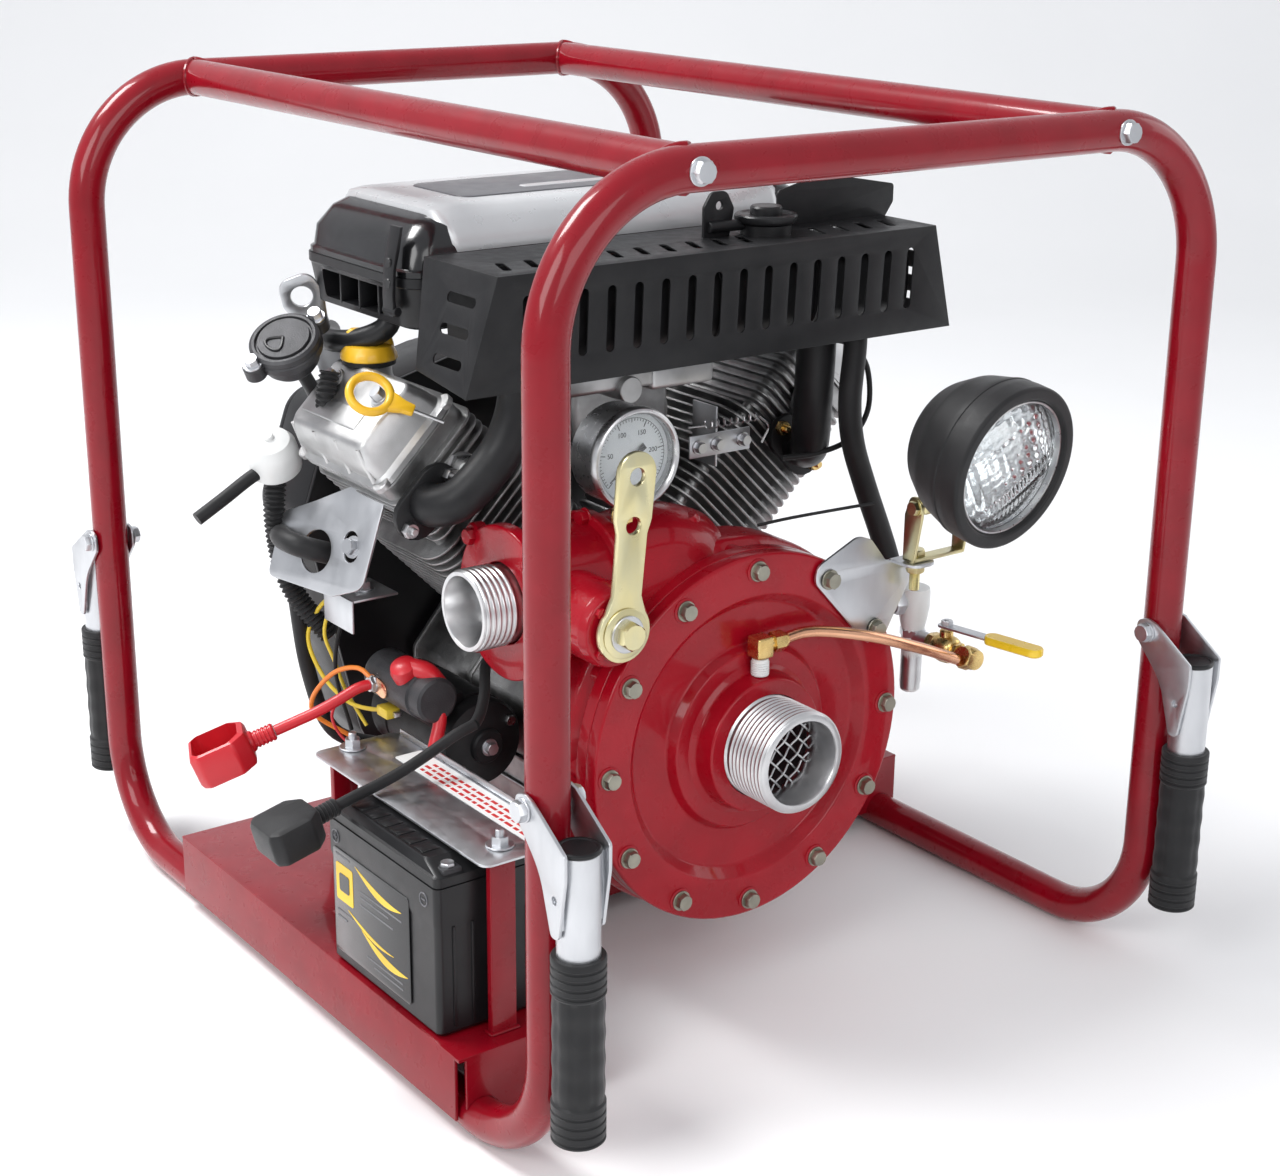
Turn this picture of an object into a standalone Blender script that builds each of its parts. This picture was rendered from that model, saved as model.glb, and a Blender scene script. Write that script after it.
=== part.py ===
"""Portable fire pump: V-twin engine and centrifugal pump in a tubular carry frame.

Metres, +Z up. X runs across the front, -Y is the suction side, -X the discharge side.
The origin is at the bottom centre of the carry frame.
"""
import math

import bmesh
import bpy
from mathutils import Matrix, Vector

# Driving dimensions
GAP = 0.0003            # between parts that touch
TUBE_R = 0.0143         # carry frame tube, 28.6 mm outside
POST_X = 0.282          # post centres from the middle
POST_Y = 0.332
TOP_Z = 0.656           # centre of the top tubes
TOP_RAIL_X = 0.1825     # straight rails across the top
TOP_BEND = 0.100
FOOT_BEND = 0.085
TRAY_Z = 0.063          # top of the tray floor
SHAFT_Z = 0.2034        # crankshaft and pump axis
COVER_Y = -0.188        # front face of the pump cover flange
COVER_R = 0.145
CASE_R = 0.148          # volute behind the cover flange
VALVE_X = -0.140        # discharge valve stem
OUTLET_Y = -0.115       # discharge axis
OUTLET_Z = 0.3245
OUTLET_END_X = -0.2075
INLET_END_Y = -0.246
LEVER_Y = -0.214
HANDLE_Z = 0.277        # fold-down handle pivots
HANDLE_OUT = 0.0335     # handle tube axis outside the post axis
HANDLE_R = 0.0140
GUARD_TOP = 0.566
GUARD_LOW = 0.485
GUARD_FRONT = -0.150

X, Y, Z = Vector((1, 0, 0)), Vector((0, 1, 0)), Vector((0, 0, 1))

COLOURS = {             # base colour, roughness, metallic
    "frame_red": ((0.36, 0.010, 0.022), 0.25, 0.0),
    "pump_red": ((0.50, 0.008, 0.020), 0.28, 0.0),
    "cast_aluminium": ((0.62, 0.62, 0.61), 0.42, 1.0),
    "machined_aluminium": ((0.78, 0.78, 0.77), 0.28, 1.0),
    "black_steel": ((0.022, 0.022, 0.024), 0.50, 0.0),
    "black_plastic": ((0.025, 0.025, 0.027), 0.42, 0.0),
    "black_rubber": ((0.018, 0.018, 0.019), 0.62, 0.0),
    "zinc_plate": ((0.70, 0.71, 0.72), 0.34, 1.0),
    "yellow_zinc": ((0.72, 0.60, 0.30), 0.36, 1.0),
    "brass": ((0.75, 0.56, 0.25), 0.28, 1.0),
    "copper": ((0.86, 0.48, 0.30), 0.25, 1.0),
    "steel": ((0.55, 0.55, 0.55), 0.32, 1.0),
    "yellow_plastic": ((0.78, 0.50, 0.03), 0.40, 0.0),
    "grey_plastic": ((0.42, 0.43, 0.45), 0.38, 0.0),
    "clear_glass": ((0.85, 0.87, 0.88), 0.05, 0.0),
    "white_dial": ((0.85, 0.86, 0.86), 0.35, 0.0),
    "filter_paper": ((0.80, 0.76, 0.62), 0.85, 0.0),
    "red_rubber": ((0.60, 0.020, 0.030), 0.45, 0.0),
}

for old in list(bpy.data.objects):
    bpy.data.objects.remove(old, do_unlink=True)
PUMP = bpy.data.collections.new("portable_fire_pump")
bpy.context.scene.collection.children.link(PUMP)


# ---------------------------------------------------------------- modelling helpers
def finish(name):
    """Return the material called name."""
    mat = bpy.data.materials.get(name)
    if mat is None:
        colour, rough, metal = COLOURS[name]
        mat = bpy.data.materials.new(name)
        mat.use_nodes = True
        shader = mat.node_tree.nodes["Principled BSDF"]
        shader.inputs["Base Color"].default_value = (*colour, 1.0)
        shader.inputs["Roughness"].default_value = rough
        shader.inputs["Metallic"].default_value = metal
        mat.diffuse_color = (*colour, 1.0)
    return mat


def place(name, data, mat="steel", matrix=None):
    """Put data in the scene as an object."""
    obj = bpy.data.objects.new(name, data)
    PUMP.objects.link(obj)
    if matrix is not None:
        obj.matrix_world = matrix
    data.materials.clear()
    data.materials.append(finish(mat))
    return obj


def axes(origin, z_dir, x_dir=X):
    """Matrix whose Z runs along z_dir and whose X is as near x_dir as it can be."""
    z_dir = Vector(z_dir).normalized()
    x_dir = Vector(x_dir)
    if abs(z_dir.dot(x_dir.normalized())) > 0.99:
        x_dir = Y if abs(z_dir.dot(Y)) < 0.9 else Z
    x_dir = (x_dir - z_dir * x_dir.dot(z_dir)).normalized()
    rotation = Matrix((x_dir, z_dir.cross(x_dir), z_dir)).transposed()
    return Matrix.Translation(Vector(origin)) @ rotation.to_4x4()


def settle(obj):
    """Turn a curve, or a mesh with modifiers, into a plain closed mesh."""
    graph = bpy.context.evaluated_depsgraph_get()
    mesh = bpy.data.meshes.new_from_object(obj.evaluated_get(graph))
    work = bmesh.new()
    work.from_mesh(mesh)
    bmesh.ops.remove_doubles(work, verts=work.verts, dist=1e-6)
    bmesh.ops.recalc_face_normals(work, faces=work.faces)
    work.to_mesh(mesh)
    work.free()
    mat = obj.data.materials[0].name
    name, matrix = obj.name, obj.matrix_world.copy()
    bpy.data.objects.remove(obj, do_unlink=True)
    return place(name, mesh, mat, matrix)


def combine(operation, obj, others):
    """Boolean each of the others with obj, then remove them."""
    for other in others:
        step = obj.modifiers.new(other.name, "BOOLEAN")
        step.operation = operation
        step.solver = "EXACT"
        step.object = other
        obj = settle(obj)
        bpy.data.objects.remove(other, do_unlink=True)
    return obj


def join(obj, *others):
    return combine("UNION", obj, others)


def cut(obj, *others):
    return combine("DIFFERENCE", obj, others)


def smooth(obj, angle=35):
    """Shade round surfaces smooth and keep the edges crisp."""
    obj.data.shade_smooth()
    obj.data.set_sharp_from_angle(angle=math.radians(angle))
    return obj


def box(name, low, high, mat="steel", bevel=0.0, segments=2, taper=None, matrix=None):
    """Box between two corners; taper scales its top face as (x, y)."""
    low, high = Vector(low), Vector(high)
    work = bmesh.new()
    bmesh.ops.create_cube(work, size=1.0)
    for vert in work.verts:
        vert.co = Vector(c * s for c, s in zip(vert.co, high - low))
        if taper and vert.co.z > 0:
            vert.co.x *= taper[0]
            vert.co.y *= taper[1]
        vert.co += (low + high) / 2
    if bevel:
        bmesh.ops.bevel(work, geom=work.edges[:], offset=bevel, segments=segments,
                        profile=0.5, affect="EDGES", clamp_overlap=True)
    mesh = bpy.data.meshes.new(name)
    work.to_mesh(mesh)
    work.free()
    return place(name, mesh, mat, matrix)


def turned(name, profile, origin=(0, 0, 0), axis=Z, mat="steel", steps=24, x_dir=X):
    """Turn (radius, height) points about an axis; a ring's profile repeats its first point."""
    mesh = bpy.data.meshes.new(name)
    points = [(radius, 0.0, height) for radius, height in profile]
    mesh.from_pydata(points, [(i, i + 1) for i in range(len(points) - 1)], [])
    obj = place(name, mesh, mat, axes(origin, axis, x_dir))
    turn = obj.modifiers.new("turn", "SCREW")
    turn.steps = turn.render_steps = steps
    turn.use_merge_vertices = True
    turn.merge_threshold = 1e-5
    return settle(obj)


def arc_profile(radius, count):
    """Half circle from pole to pole, for turning a ball."""
    turns = [math.pi * k / count for k in range(1, count)]
    return [(0, radius), *[(radius * math.sin(t), radius * math.cos(t)) for t in turns], (0, -radius)]


def rod(name, start, end, radius, mat="steel", steps=16):
    """Round bar between two points."""
    start, end = Vector(start), Vector(end)
    length = (end - start).length
    return turned(name, [(0, length), (radius, length), (radius, 0), (0, 0)],
                  start, end - start, mat, steps)


def hexagon(name, start, end, flats, mat="steel"):
    """Hexagon bar between two points, flats across."""
    return rod(name, start, end, flats / math.sqrt(3), mat, 6)


def rounded(points, radii, steps=8):
    """Path through points with each inner corner turned into an arc."""
    points = [Vector(p) for p in points]
    path = [points[0]]
    for i in range(1, len(points) - 1):
        before = (points[i - 1] - points[i]).normalized()
        after = (points[i + 1] - points[i]).normalized()
        half = before.angle(after) / 2
        radius = radii[i - 1] if isinstance(radii, (list, tuple)) else radii
        centre = points[i] + (before + after).normalized() * radius / math.sin(half)
        first = points[i] + before * radius / math.tan(half) - centre
        last = points[i] + after * radius / math.tan(half) - centre
        sweep = first.angle(last)
        for k in range(steps + 1):
            t = k / steps
            path.append(centre + (first * math.sin((1 - t) * sweep)
                                  + last * math.sin(t * sweep)) / math.sin(sweep))
    path.append(points[-1])
    return path


def catmull(points, spacing):
    """Smooth curve through points, sampled about every spacing."""
    points = [Vector(p) for p in points]
    ends = [2 * points[0] - points[1]] + points + [2 * points[-1] - points[-2]]
    path = []
    for a, b, c, d in zip(ends, ends[1:], ends[2:], ends[3:]):
        count = max(2, round((c - b).length / spacing))
        for k in range(count):
            t = k / count
            path.append(0.5 * (2 * b + (c - a) * t + (2 * a - 5 * b + 4 * c - d) * t * t
                               + (3 * b - a - 3 * c + d) * t ** 3))
    path.append(points[-1])
    return path


def tube(name, path, radius, mat="steel", resolution=4):
    """Round tube along a path, with filled caps."""
    curve = bpy.data.curves.new(name, "CURVE")
    curve.dimensions = "3D"
    curve.bevel_depth = radius
    curve.bevel_resolution = resolution
    curve.use_fill_caps = True
    spline = curve.splines.new("POLY")
    spline.points.add(len(path) - 1)
    for point, place_at in zip(spline.points, path):
        point.co = (*place_at, 1.0)
    return settle(place(name, curve, mat))


def plate(name, loops, thickness, origin, x_dir, y_dir, mat="steel"):
    """Flat plate centred on its plane; the first loop is its outline, the others are holes."""
    curve = bpy.data.curves.new(name, "CURVE")
    curve.dimensions = "2D"
    curve.fill_mode = "BOTH"
    curve.extrude = thickness / 2
    for loop in loops:
        spline = curve.splines.new("POLY")
        spline.points.add(len(loop) - 1)
        spline.use_cyclic_u = True
        for point, (u, v) in zip(spline.points, loop):
            point.co = (u, v, 0.0, 1.0)
    return settle(place(name, curve, mat, axes(origin, Vector(x_dir).cross(Vector(y_dir)), x_dir)))


def circle(u, v, radius, count=16):
    return [(u + radius * math.cos(2 * math.pi * k / count),
             v + radius * math.sin(2 * math.pi * k / count)) for k in range(count)]


def soft_corners(points, radius, steps=3):
    """Closed 2D outline with every corner rounded."""
    flat = [Vector((u, v, 0)) for u, v in points]
    around = [(flat[-1] + flat[0]) / 2] + flat + [(flat[-1] + flat[0]) / 2]
    return [(p.x, p.y) for p in rounded(around, radius, steps)[:-1]]


def pivot(name, location, *pieces):
    """Empty on a joint's axis that carries the moving pieces."""
    empty = bpy.data.objects.new(name, None)
    empty.empty_display_size = 0.02
    empty.location = location
    PUMP.objects.link(empty)
    for piece in pieces:
        world = piece.matrix_world.copy()
        piece.parent = empty
        piece.matrix_parent_inverse = Matrix.Translation(-Vector(location))
        piece.matrix_basis = world


# ---------------------------------------------------------------- carry frame
def hoop_path(side):
    """Centre line of a post pair: rail, post, top bend, post, rail."""
    y = side * POST_Y
    end = side * GAP
    corners = [(-POST_X, end, TUBE_R), (-POST_X, y, TUBE_R), (-POST_X, y, TOP_Z),
               (POST_X, y, TOP_Z), (POST_X, y, TUBE_R), (POST_X, end, TUBE_R)]
    return rounded(corners, [FOOT_BEND, TOP_BEND, TOP_BEND, FOOT_BEND], 6)


def carry_frame():
    for name, side in (("front_frame_tube", -1), ("rear_frame_tube", 1)):
        smooth(tube(name, hoop_path(side), TUBE_R, "frame_red", 4))
    for name, side in (("top_rail_left", -1), ("top_rail_right", 1)):
        x = side * TOP_RAIL_X
        rail = rod(name, (x, -POST_Y, TOP_Z), (x, POST_Y, TOP_Z), TUBE_R, "frame_red", 14)
        hoops = [tube("hoop", hoop_path(end), TUBE_R + 2 * GAP, resolution=4) for end in (-1, 1)]
        smooth(cut(rail, *hoops))


def base_tray():
    """Pan with its flanges folded down outside the rails, and the two battery bars."""
    left, right, rear, step, step_x, near = -0.300, 0.300, 0.181, -0.030, -0.190, -0.2505
    lip, thick = 0.013, 0.003
    outline = [(left, near), (step_x, near), (step_x, step), (right, step), (right, rear), (left, rear)]
    work = bmesh.new()
    ring = [work.verts.new((u, v, TRAY_Z)) for u, v in outline]
    floor = work.faces.new(ring)
    grown = bmesh.ops.extrude_face_region(work, geom=[floor])["geom"]
    lowered = [g for g in grown if isinstance(g, bmesh.types.BMVert)]
    bmesh.ops.translate(work, verts=lowered, vec=(0, 0, lip - TRAY_Z))
    bottom = [f for f in work.faces if all(v.co.z < TRAY_Z - 0.01 for v in f.verts)]
    bmesh.ops.delete(work, geom=bottom, context="FACES_ONLY")
    bmesh.ops.recalc_face_normals(work, faces=work.faces)
    if floor.is_valid and floor.normal.z < 0:
        bmesh.ops.reverse_faces(work, faces=work.faces)
    mesh = bpy.data.meshes.new("base_tray")
    work.to_mesh(mesh)
    work.free()
    tray = place("base_tray", mesh, "frame_red")
    sheet = tray.modifiers.new("sheet", "SOLIDIFY")
    sheet.thickness = thick
    sheet.offset = -1
    sheet.use_even_offset = True
    tray = settle(tray)
    bars = [box("bar", (-0.264, y - 0.003, TRAY_Z - 0.001), (-0.244, y + 0.003, 0.1935))
            for y in (-0.2335, -0.0170)]
    tray = join(tray, *bars)
    relief = box("relief", (left - 0.01, near - 0.01, 0), (left + 0.006, near + 0.006, TRAY_Z - 0.008))
    hole = rod("hole", (-0.2060, near - 0.01, 0.030), (-0.2060, near + 0.01, 0.030), 0.0055)
    rails = [tube("rail", hoop_path(side), TUBE_R + 0.0006, resolution=4) for side in (-1, 1)]
    cut(tray, relief, hole, *rails)


def carry_handles():
    """Four fold-down handles: side plates and tube in one weldment, with a rubber grip."""
    top = HANDLE_Z - 0.0160
    low = 0.0612
    for y_name, sy in (("front", -1), ("rear", 1)):
        for x_name, sx in (("left", -1), ("right", 1)):
            name = f"{y_name}_{x_name}"
            out = sy * (POST_Y + HANDLE_OUT)
            x, post = sx * POST_X, sy * POST_Y
            stem = rod(f"handle_{name}", (x, out, low), (x, out, top), HANDLE_R, "zinc_plate", 12)
            cheeks = []
            for side in (-1, 1):
                face = side * (TUBE_R + 0.0022)
                outline = [(-0.0100, -0.0050), (-0.0090, 0.0060), (0.0, 0.0105), (0.0080, 0.0080),
                           (0.0440, -0.0150), (0.0440, -0.0320), (0.0360, -0.0740),
                           (0.0280, -0.0740), (0.0180, -0.0350)]
                cheeks.append(plate("cheek", [outline], 0.0026, (x + face, post, HANDLE_Z),
                                    (0, sy, 0), Z))
                weld = side * 0.0140
                cheeks.append(box("weld", (x + weld - 0.0022, out - 0.005, HANDLE_Z - 0.070),
                                  (x + weld + 0.0022, out + 0.005, HANDLE_Z - 0.020)))
                cheeks.append(hexagon("bolt", (x + face, post, HANDLE_Z),
                                      (x + face + side * 0.0062, post, HANDLE_Z), 0.0130))
            arm = smooth(join(stem, *cheeks))
            grip_low, grip_top = 0.0580, 0.1880
            inner, outer, ring = HANDLE_R + GAP, 0.0168, 0.0178
            profile = [(0, low - GAP), (inner, low - GAP), (inner, grip_top), (ring, grip_top),
                       (ring, grip_top - 0.006), (outer, grip_top - 0.008), (outer, grip_low + 0.010),
                       (ring, grip_low + 0.008), (ring, grip_low), (0, grip_low)]
            grip = smooth(turned(f"grip_{name}", profile, (x, out, 0), Z, "black_rubber", 12))
            pivot(f"handle_axis_{name}", (x, post, HANDLE_Z), arm, grip)


# ---------------------------------------------------------------- pump
def pump_end():
    back, joint = -0.085, COVER_Y + 0.012
    case = turned("pump_volute", [
        (0, -joint), (COVER_R, -joint), (COVER_R, -joint - 0.012), (CASE_R, -joint - 0.020),
        (CASE_R, -joint - 0.062), (0.138, -joint - 0.080), (0.120, -back),
        (0.090, -back), (0.090, 0.0685), (0, 0.0685)],
        (0, 0, SHAFT_Z), -Y, "pump_red", 24)
    outlet = turned("outlet", [(0, 0.0900), (0.0500, 0.0900), (0.0530, 0.0600), (0.0480, 0.0),
                               (0, -0.02)],
                    (0, OUTLET_Y, OUTLET_Z), -X, steps=20)
    case = join(case, outlet)
    chamber = rod("chamber", (0, joint - 0.01, SHAFT_Z), (0, -0.100, SHAFT_Z), 0.122, steps=24)
    bore = rod("bore", (0, -0.2, SHAFT_Z), (0, 0, SHAFT_Z), 0.0176, steps=16)
    duct = rod("duct", (0.0, OUTLET_Y, OUTLET_Z), (-0.15, OUTLET_Y, OUTLET_Z), 0.0240, steps=16)
    smooth(cut(case, chamber, bore, duct))

    hub = -COVER_Y
    smooth(turned("pump_cover", [
        (0.0400, hub + 0.0160), (0.0520, hub + 0.0160), (0.0530, hub + 0.0150),
        (0.0530, hub + 0.0010), (0.0545, hub - 0.0020), (0.0720, hub - 0.0020),
        (0.0745, hub - 0.0100), (0.1060, hub - 0.0100), (0.1140, hub), (COVER_R - 0.001, hub),
        (COVER_R, hub - 0.001), (COVER_R, hub - 0.012 + GAP), (0.1205, hub - 0.012 + GAP),
        (0.1205, hub - 0.0200), (0.0400, hub - 0.0200), (0.0400, hub + 0.0160)],
        (0, 0, SHAFT_Z), -Y, "pump_red", 24))

    end = -INLET_END_Y
    ridges = []
    for k in range(2):
        top = end - 0.0030 - 0.0150 * k
        ridges += [(0.0395, top), (0.0395, top - 0.0080), (0.0380, top - 0.0100),
                   (0.0380, top - 0.0130)]
    root = hub - 0.0190
    smooth(turned("suction_adapter", [
        (0.0318, end), (0.0385, end), *ridges, (0.0380, hub + 0.0110), (0.0397, hub + 0.0100),
        (0.0397, root), (0.0318, root), (0.0318, end)],
        (0, 0, SHAFT_Z), -Y, "machined_aluminium", 24))

    rings = [circle(0, 0, 0.0308, 20)]
    for row in range(-2, 3):
        for col in range(-2, 3):
            if abs(row) + abs(col) < 3:
                rings.append([(col * 0.0105 + u, row * 0.0105 + v) for u, v in
                              ((-0.004, -0.004), (0.004, -0.004), (0.004, 0.004), (-0.004, 0.004))])
    plate("suction_strainer", rings, 0.0016, (0, -0.2160, SHAFT_Z), X, Z, "steel")


def rotor():
    """Impeller, crankshaft and flywheel fan, all on the pump axis."""
    wheel = turned("impeller", [
        (0.0125, 0.1400), (0.0220, 0.1400), (0.0300, 0.1200), (0.1130, 0.1140), (0.1130, 0.1090),
        (0.0125, 0.1090), (0.0125, 0.1400)], (0, 0, SHAFT_Z), -Y, "cast_aluminium", 24)
    vanes = []
    for k in range(6):
        turn = Matrix.Rotation(math.tau * k / 6, 4, Y)
        matrix = Matrix.Translation((0, 0, SHAFT_Z)) @ turn
        vane = box("vane", (-0.0020, -0.1480, 0.0260), (0.0020, -0.1130, 0.1080), matrix=matrix)
        vanes.append(vane)
    wheel = smooth(join(wheel, *vanes))
    shaft = turned("crankshaft", [
        (0, 0.1460), (0.0118, 0.1460), (0.0118, 0.1080), (0.0165, 0.1060), (0.0165, -0.1560),
        (0, -0.1560)], (0, 0, SHAFT_Z), -Y, "steel", 20)
    smooth(shaft)
    fan = turned("flywheel_fan", [
        (0.0170, -0.1360), (0.0900, -0.1360), (0.1150, -0.1400), (0.1150, -0.1480), (0.0250, -0.1480),
        (0.0250, -0.1560), (0.0170, -0.1560), (0.0170, -0.1360)],
        (0, 0, SHAFT_Z), -Y, "cast_aluminium", 24)
    blades = []
    for k in range(12):
        matrix = Matrix.Translation((0, 0, SHAFT_Z)) @ Matrix.Rotation(math.tau * k / 12, 4, Y)
        blades.append(box("blade", (-0.0018, 0.1440, 0.0700), (0.0018, 0.1700, 0.1130),
                          matrix=matrix))
    fan = smooth(join(fan, *blades))
    pivot("rotor_axis", (0, 0, SHAFT_Z), wheel, shaft, fan)


def discharge_valve():
    """Quarter-turn ball valve: the lever, upright when shut, lies along the outlet when open."""
    body = turned("discharge_valve_body", [
        (0, 0.1750), (0.0560, 0.1750), (0.0570, 0.1740), (0.0570, 0.1640), (0.0500, 0.1600),
        (0.0500, 0.0960), (0.0530, 0.0903), (0, 0.0903)],
        (0, OUTLET_Y, OUTLET_Z), -X, "pump_red", 20)
    boss = turned("boss", [(0, 0.0930), (0.0260, 0.0930), (0.0290, 0.0890), (0.0290, 0), (0, 0)],
                  (VALVE_X, OUTLET_Y, OUTLET_Z), -Y, steps=16)
    lugs = [rod("lug", (-0.1635, OUTLET_Y + 0.058 * math.cos(a), OUTLET_Z + 0.058 * math.sin(a)),
                (-0.1745, OUTLET_Y + 0.058 * math.cos(a), OUTLET_Z + 0.058 * math.sin(a)), 0.0090,
                steps=8) for a in (math.radians(45 + 90 * k) for k in range(4))]
    body = join(body, boss, *lugs)
    seat = turned("seat", arc_profile(0.0362, 8), (VALVE_X, OUTLET_Y, OUTLET_Z), Z, steps=16)
    saddle = rod("saddle", (0, -0.3, SHAFT_Z), (0, 0.1, SHAFT_Z), CASE_R + 0.0012, steps=24)
    bore = rod("bore", (0, OUTLET_Y, OUTLET_Z), (-0.30, OUTLET_Y, OUTLET_Z), 0.0240, steps=16)
    thread = rod("thread", (-0.1640, OUTLET_Y, OUTLET_Z), (-0.30, OUTLET_Y, OUTLET_Z), 0.0290,
                 steps=20)
    stem_hole = rod("hole", (VALVE_X, OUTLET_Y, OUTLET_Z), (VALVE_X, -0.3, OUTLET_Z), 0.0088,
                    steps=12)
    smooth(cut(body, seat, saddle, bore, thread, stem_hole))

    end = -OUTLET_END_X
    ridges = []
    for k in range(2):
        top = end - 0.0030 - 0.0130 * k
        ridges += [(0.0300, top), (0.0300, top - 0.0060), (0.0285, top - 0.0080),
                   (0.0285, top - 0.0110)]
    smooth(turned("discharge_adapter", [
        (0.0245, end), (0.0290, end), *ridges, (0.0285, 0.1760), (0.0285, 0.1645),
        (0.0245, 0.1645), (0.0245, end)], (0, OUTLET_Y, OUTLET_Z), -X, "machined_aluminium", 20))

    centre = Vector((VALVE_X, OUTLET_Y, OUTLET_Z))
    ball = turned("discharge_ball", arc_profile(0.0345, 8), centre, Z, "steel", 16)
    way = rod("way", centre - Z * 0.05, centre + Z * 0.05, 0.0220, steps=16)
    stem = rod("stem", centre - Y * 0.0300, centre - Y * 0.0960, 0.0080, steps=12)
    ball = smooth(join(cut(ball, way), stem))

    lean = math.atan2(0.0100, 0.1115)
    reach, eye, top = 0.1120, 0.0215, 0.0155
    outline = []
    for k in range(13):
        turn = math.radians(140 + 260 * k / 12)
        outline.append((eye * math.cos(turn), eye * math.sin(turn)))
    outline += [(0.0118, 0.0260), (0.0124, 0.0700), (0.0150, 0.0780)]
    for k in range(9):
        turn = math.radians(180 * k / 8)
        outline.append((top * math.cos(turn), reach + top * math.sin(turn)))
    outline += [(-0.0150, 0.0780), (-0.0124, 0.0700), (-0.0118, 0.0260)]
    up = Vector((math.sin(lean), 0, math.cos(lean)))
    across = Vector((math.cos(lean), 0, -math.sin(lean)))
    holes = [circle(0, reach - 0.002, 0.0062, 12), circle(0, reach - 0.036, 0.0062, 12)]
    lever = plate("discharge_lever", [outline, *holes], 0.0050,
                  (VALVE_X, LEVER_Y, OUTLET_Z), across, up, "yellow_zinc")
    nut_y = LEVER_Y - 0.0025
    washer = rod("washer", (VALVE_X, nut_y + 0.001, OUTLET_Z), (VALVE_X, nut_y - 0.0030, OUTLET_Z),
                 0.0135, steps=20)
    nut = hexagon("nut", (VALVE_X, nut_y, OUTLET_Z), (VALVE_X, nut_y - 0.0110, OUTLET_Z), 0.0180)
    lever = join(lever, washer, nut)
    pivot("discharge_axis", (VALVE_X, OUTLET_Y, OUTLET_Z), ball, lever)


GAUGE = Vector((-0.0880, -0.1600, 0.4270))


def pressure_gauge():
    """Pressure gauge on the outlet: steel case with a bezel, glass and needle."""
    case = turned("gauge_case", [
        (0, 0.0), (0.0350, 0.0), (0.0360, 0.0020), (0.0360, 0.0260), (0.0372, 0.0270),
        (0.0372, 0.0320), (0.0345, 0.0345), (0.0325, 0.0345), (0.0325, 0.0240), (0, 0.0240)],
        GAUGE + Y * 0.0345, -Y, "steel", 24)
    neck = rod("neck", GAUGE + Vector((0, 0.0225, -0.0300)),
               (GAUGE.x, GAUGE.y + 0.0225, OUTLET_Z + 0.0508), 0.0070, steps=12)
    smooth(join(case, neck))
    smooth(turned("gauge_lens", [
        (0, 0.0318), (0.0300, 0.0308), (0.0322, 0.0304), (0.0322, 0.0280), (0, 0.0280)],
        GAUGE + Y * 0.0345, -Y, "clear_glass", 24))
    hub = Vector((GAUGE.x, GAUGE.y + 0.0085, GAUGE.z))
    tilt = math.radians(220)
    along = Vector((math.sin(tilt), 0, math.cos(tilt)))
    across = Vector((math.cos(tilt), 0, -math.sin(tilt)))
    outline = [(-0.0016, -0.0090), (0.0016, -0.0090), (0.0020, 0), (0.0005, 0.0240),
               (-0.0005, 0.0240), (-0.0020, 0)]
    needle = plate("gauge_needle", [outline], 0.0008, hub, across, along, "black_steel")
    needle = join(needle, rod("hub", hub - Y * 0.0012, hub + Y * 0.0012, 0.0030, steps=12))
    pivot("needle_axis", hub, needle)


# ---------------------------------------------------------------- priming line and lamp
ELBOW = Vector((0.0, -0.1940, 0.2800))
PRIMER = Vector((0.2080, -0.2040, 0.2290))


def priming_line():
    elbow = hexagon("primer_tube", (ELBOW.x, ELBOW.y, SHAFT_Z + 0.0533 + GAP),
                    ELBOW + Z * 0.0060, 0.0120, "copper")
    side = hexagon("side", ELBOW, ELBOW + X * 0.0220, 0.0130)
    path = catmull([ELBOW + X * 0.018, ELBOW + Vector((0.050, 0, 0.0005)),
                    ELBOW + Vector((0.100, -0.0090, -0.0110)), ELBOW + Vector((0.150, -0.0110, -0.0300)),
                    PRIMER + Vector((-0.0150, 0, 0.0020))], 0.018)
    run = tube("run", path, 0.0045, resolution=2)
    smooth(join(elbow, side, run))

    body = hexagon("primer_valve_body", PRIMER - X * 0.0127, PRIMER + X * 0.0080, 0.0150, "brass")
    barrel = rod("barrel", PRIMER - Y * 0.0060, PRIMER + Y * 0.0620, 0.0078, steps=14)
    ball_case = rod("case", PRIMER + Y * 0.0160, PRIMER + Y * 0.0380, 0.0115, steps=12)
    boss = rod("boss", PRIMER + Vector((0, 0.027, 0)), PRIMER + Vector((0, 0.027, 0.0170)), 0.0060,
               steps=12)
    foot = PRIMER + Y * 0.0660
    stack = turned("stack", [(0, 0.0420), (0.0130, 0.0420), (0.0130, 0.0050), (0.0085, 0.0),
                             (0.0085, -0.0400),
                             (0.0060, -0.0480), (0, -0.0480)], foot, Z, steps=12)
    branch = rod("branch", foot + Z * 0.030, foot + Vector((-0.040, 0.010, 0.030)), 0.0075, steps=12)
    smooth(join(body, barrel, ball_case, boss, stack, branch))

    hinge = PRIMER + Vector((0, 0.0270, 0.0175))
    arm = box("primer_valve_lever", (-0.0070, -0.0880, 0.0), (0.0070, 0.0080, 0.0022),
              "yellow_plastic")
    sleeve = box("sleeve", (-0.0080, -0.0900, -0.0025), (0.0080, -0.0380, 0.0045), bevel=0.003)
    arm = join(arm, sleeve)
    arm.matrix_world = Matrix.Translation(hinge) @ Matrix.Rotation(math.radians(10), 4, "Z")
    pivot("primer_valve_axis", hinge, arm)


STUD = Vector((0.1460, -0.2010, 0.3330))
LAMP_TILT = Vector((0.1600, -0.2130, 0.3680))
LAMP_AIM = Vector((0.06, -0.985, -0.16)).normalized()


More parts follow.
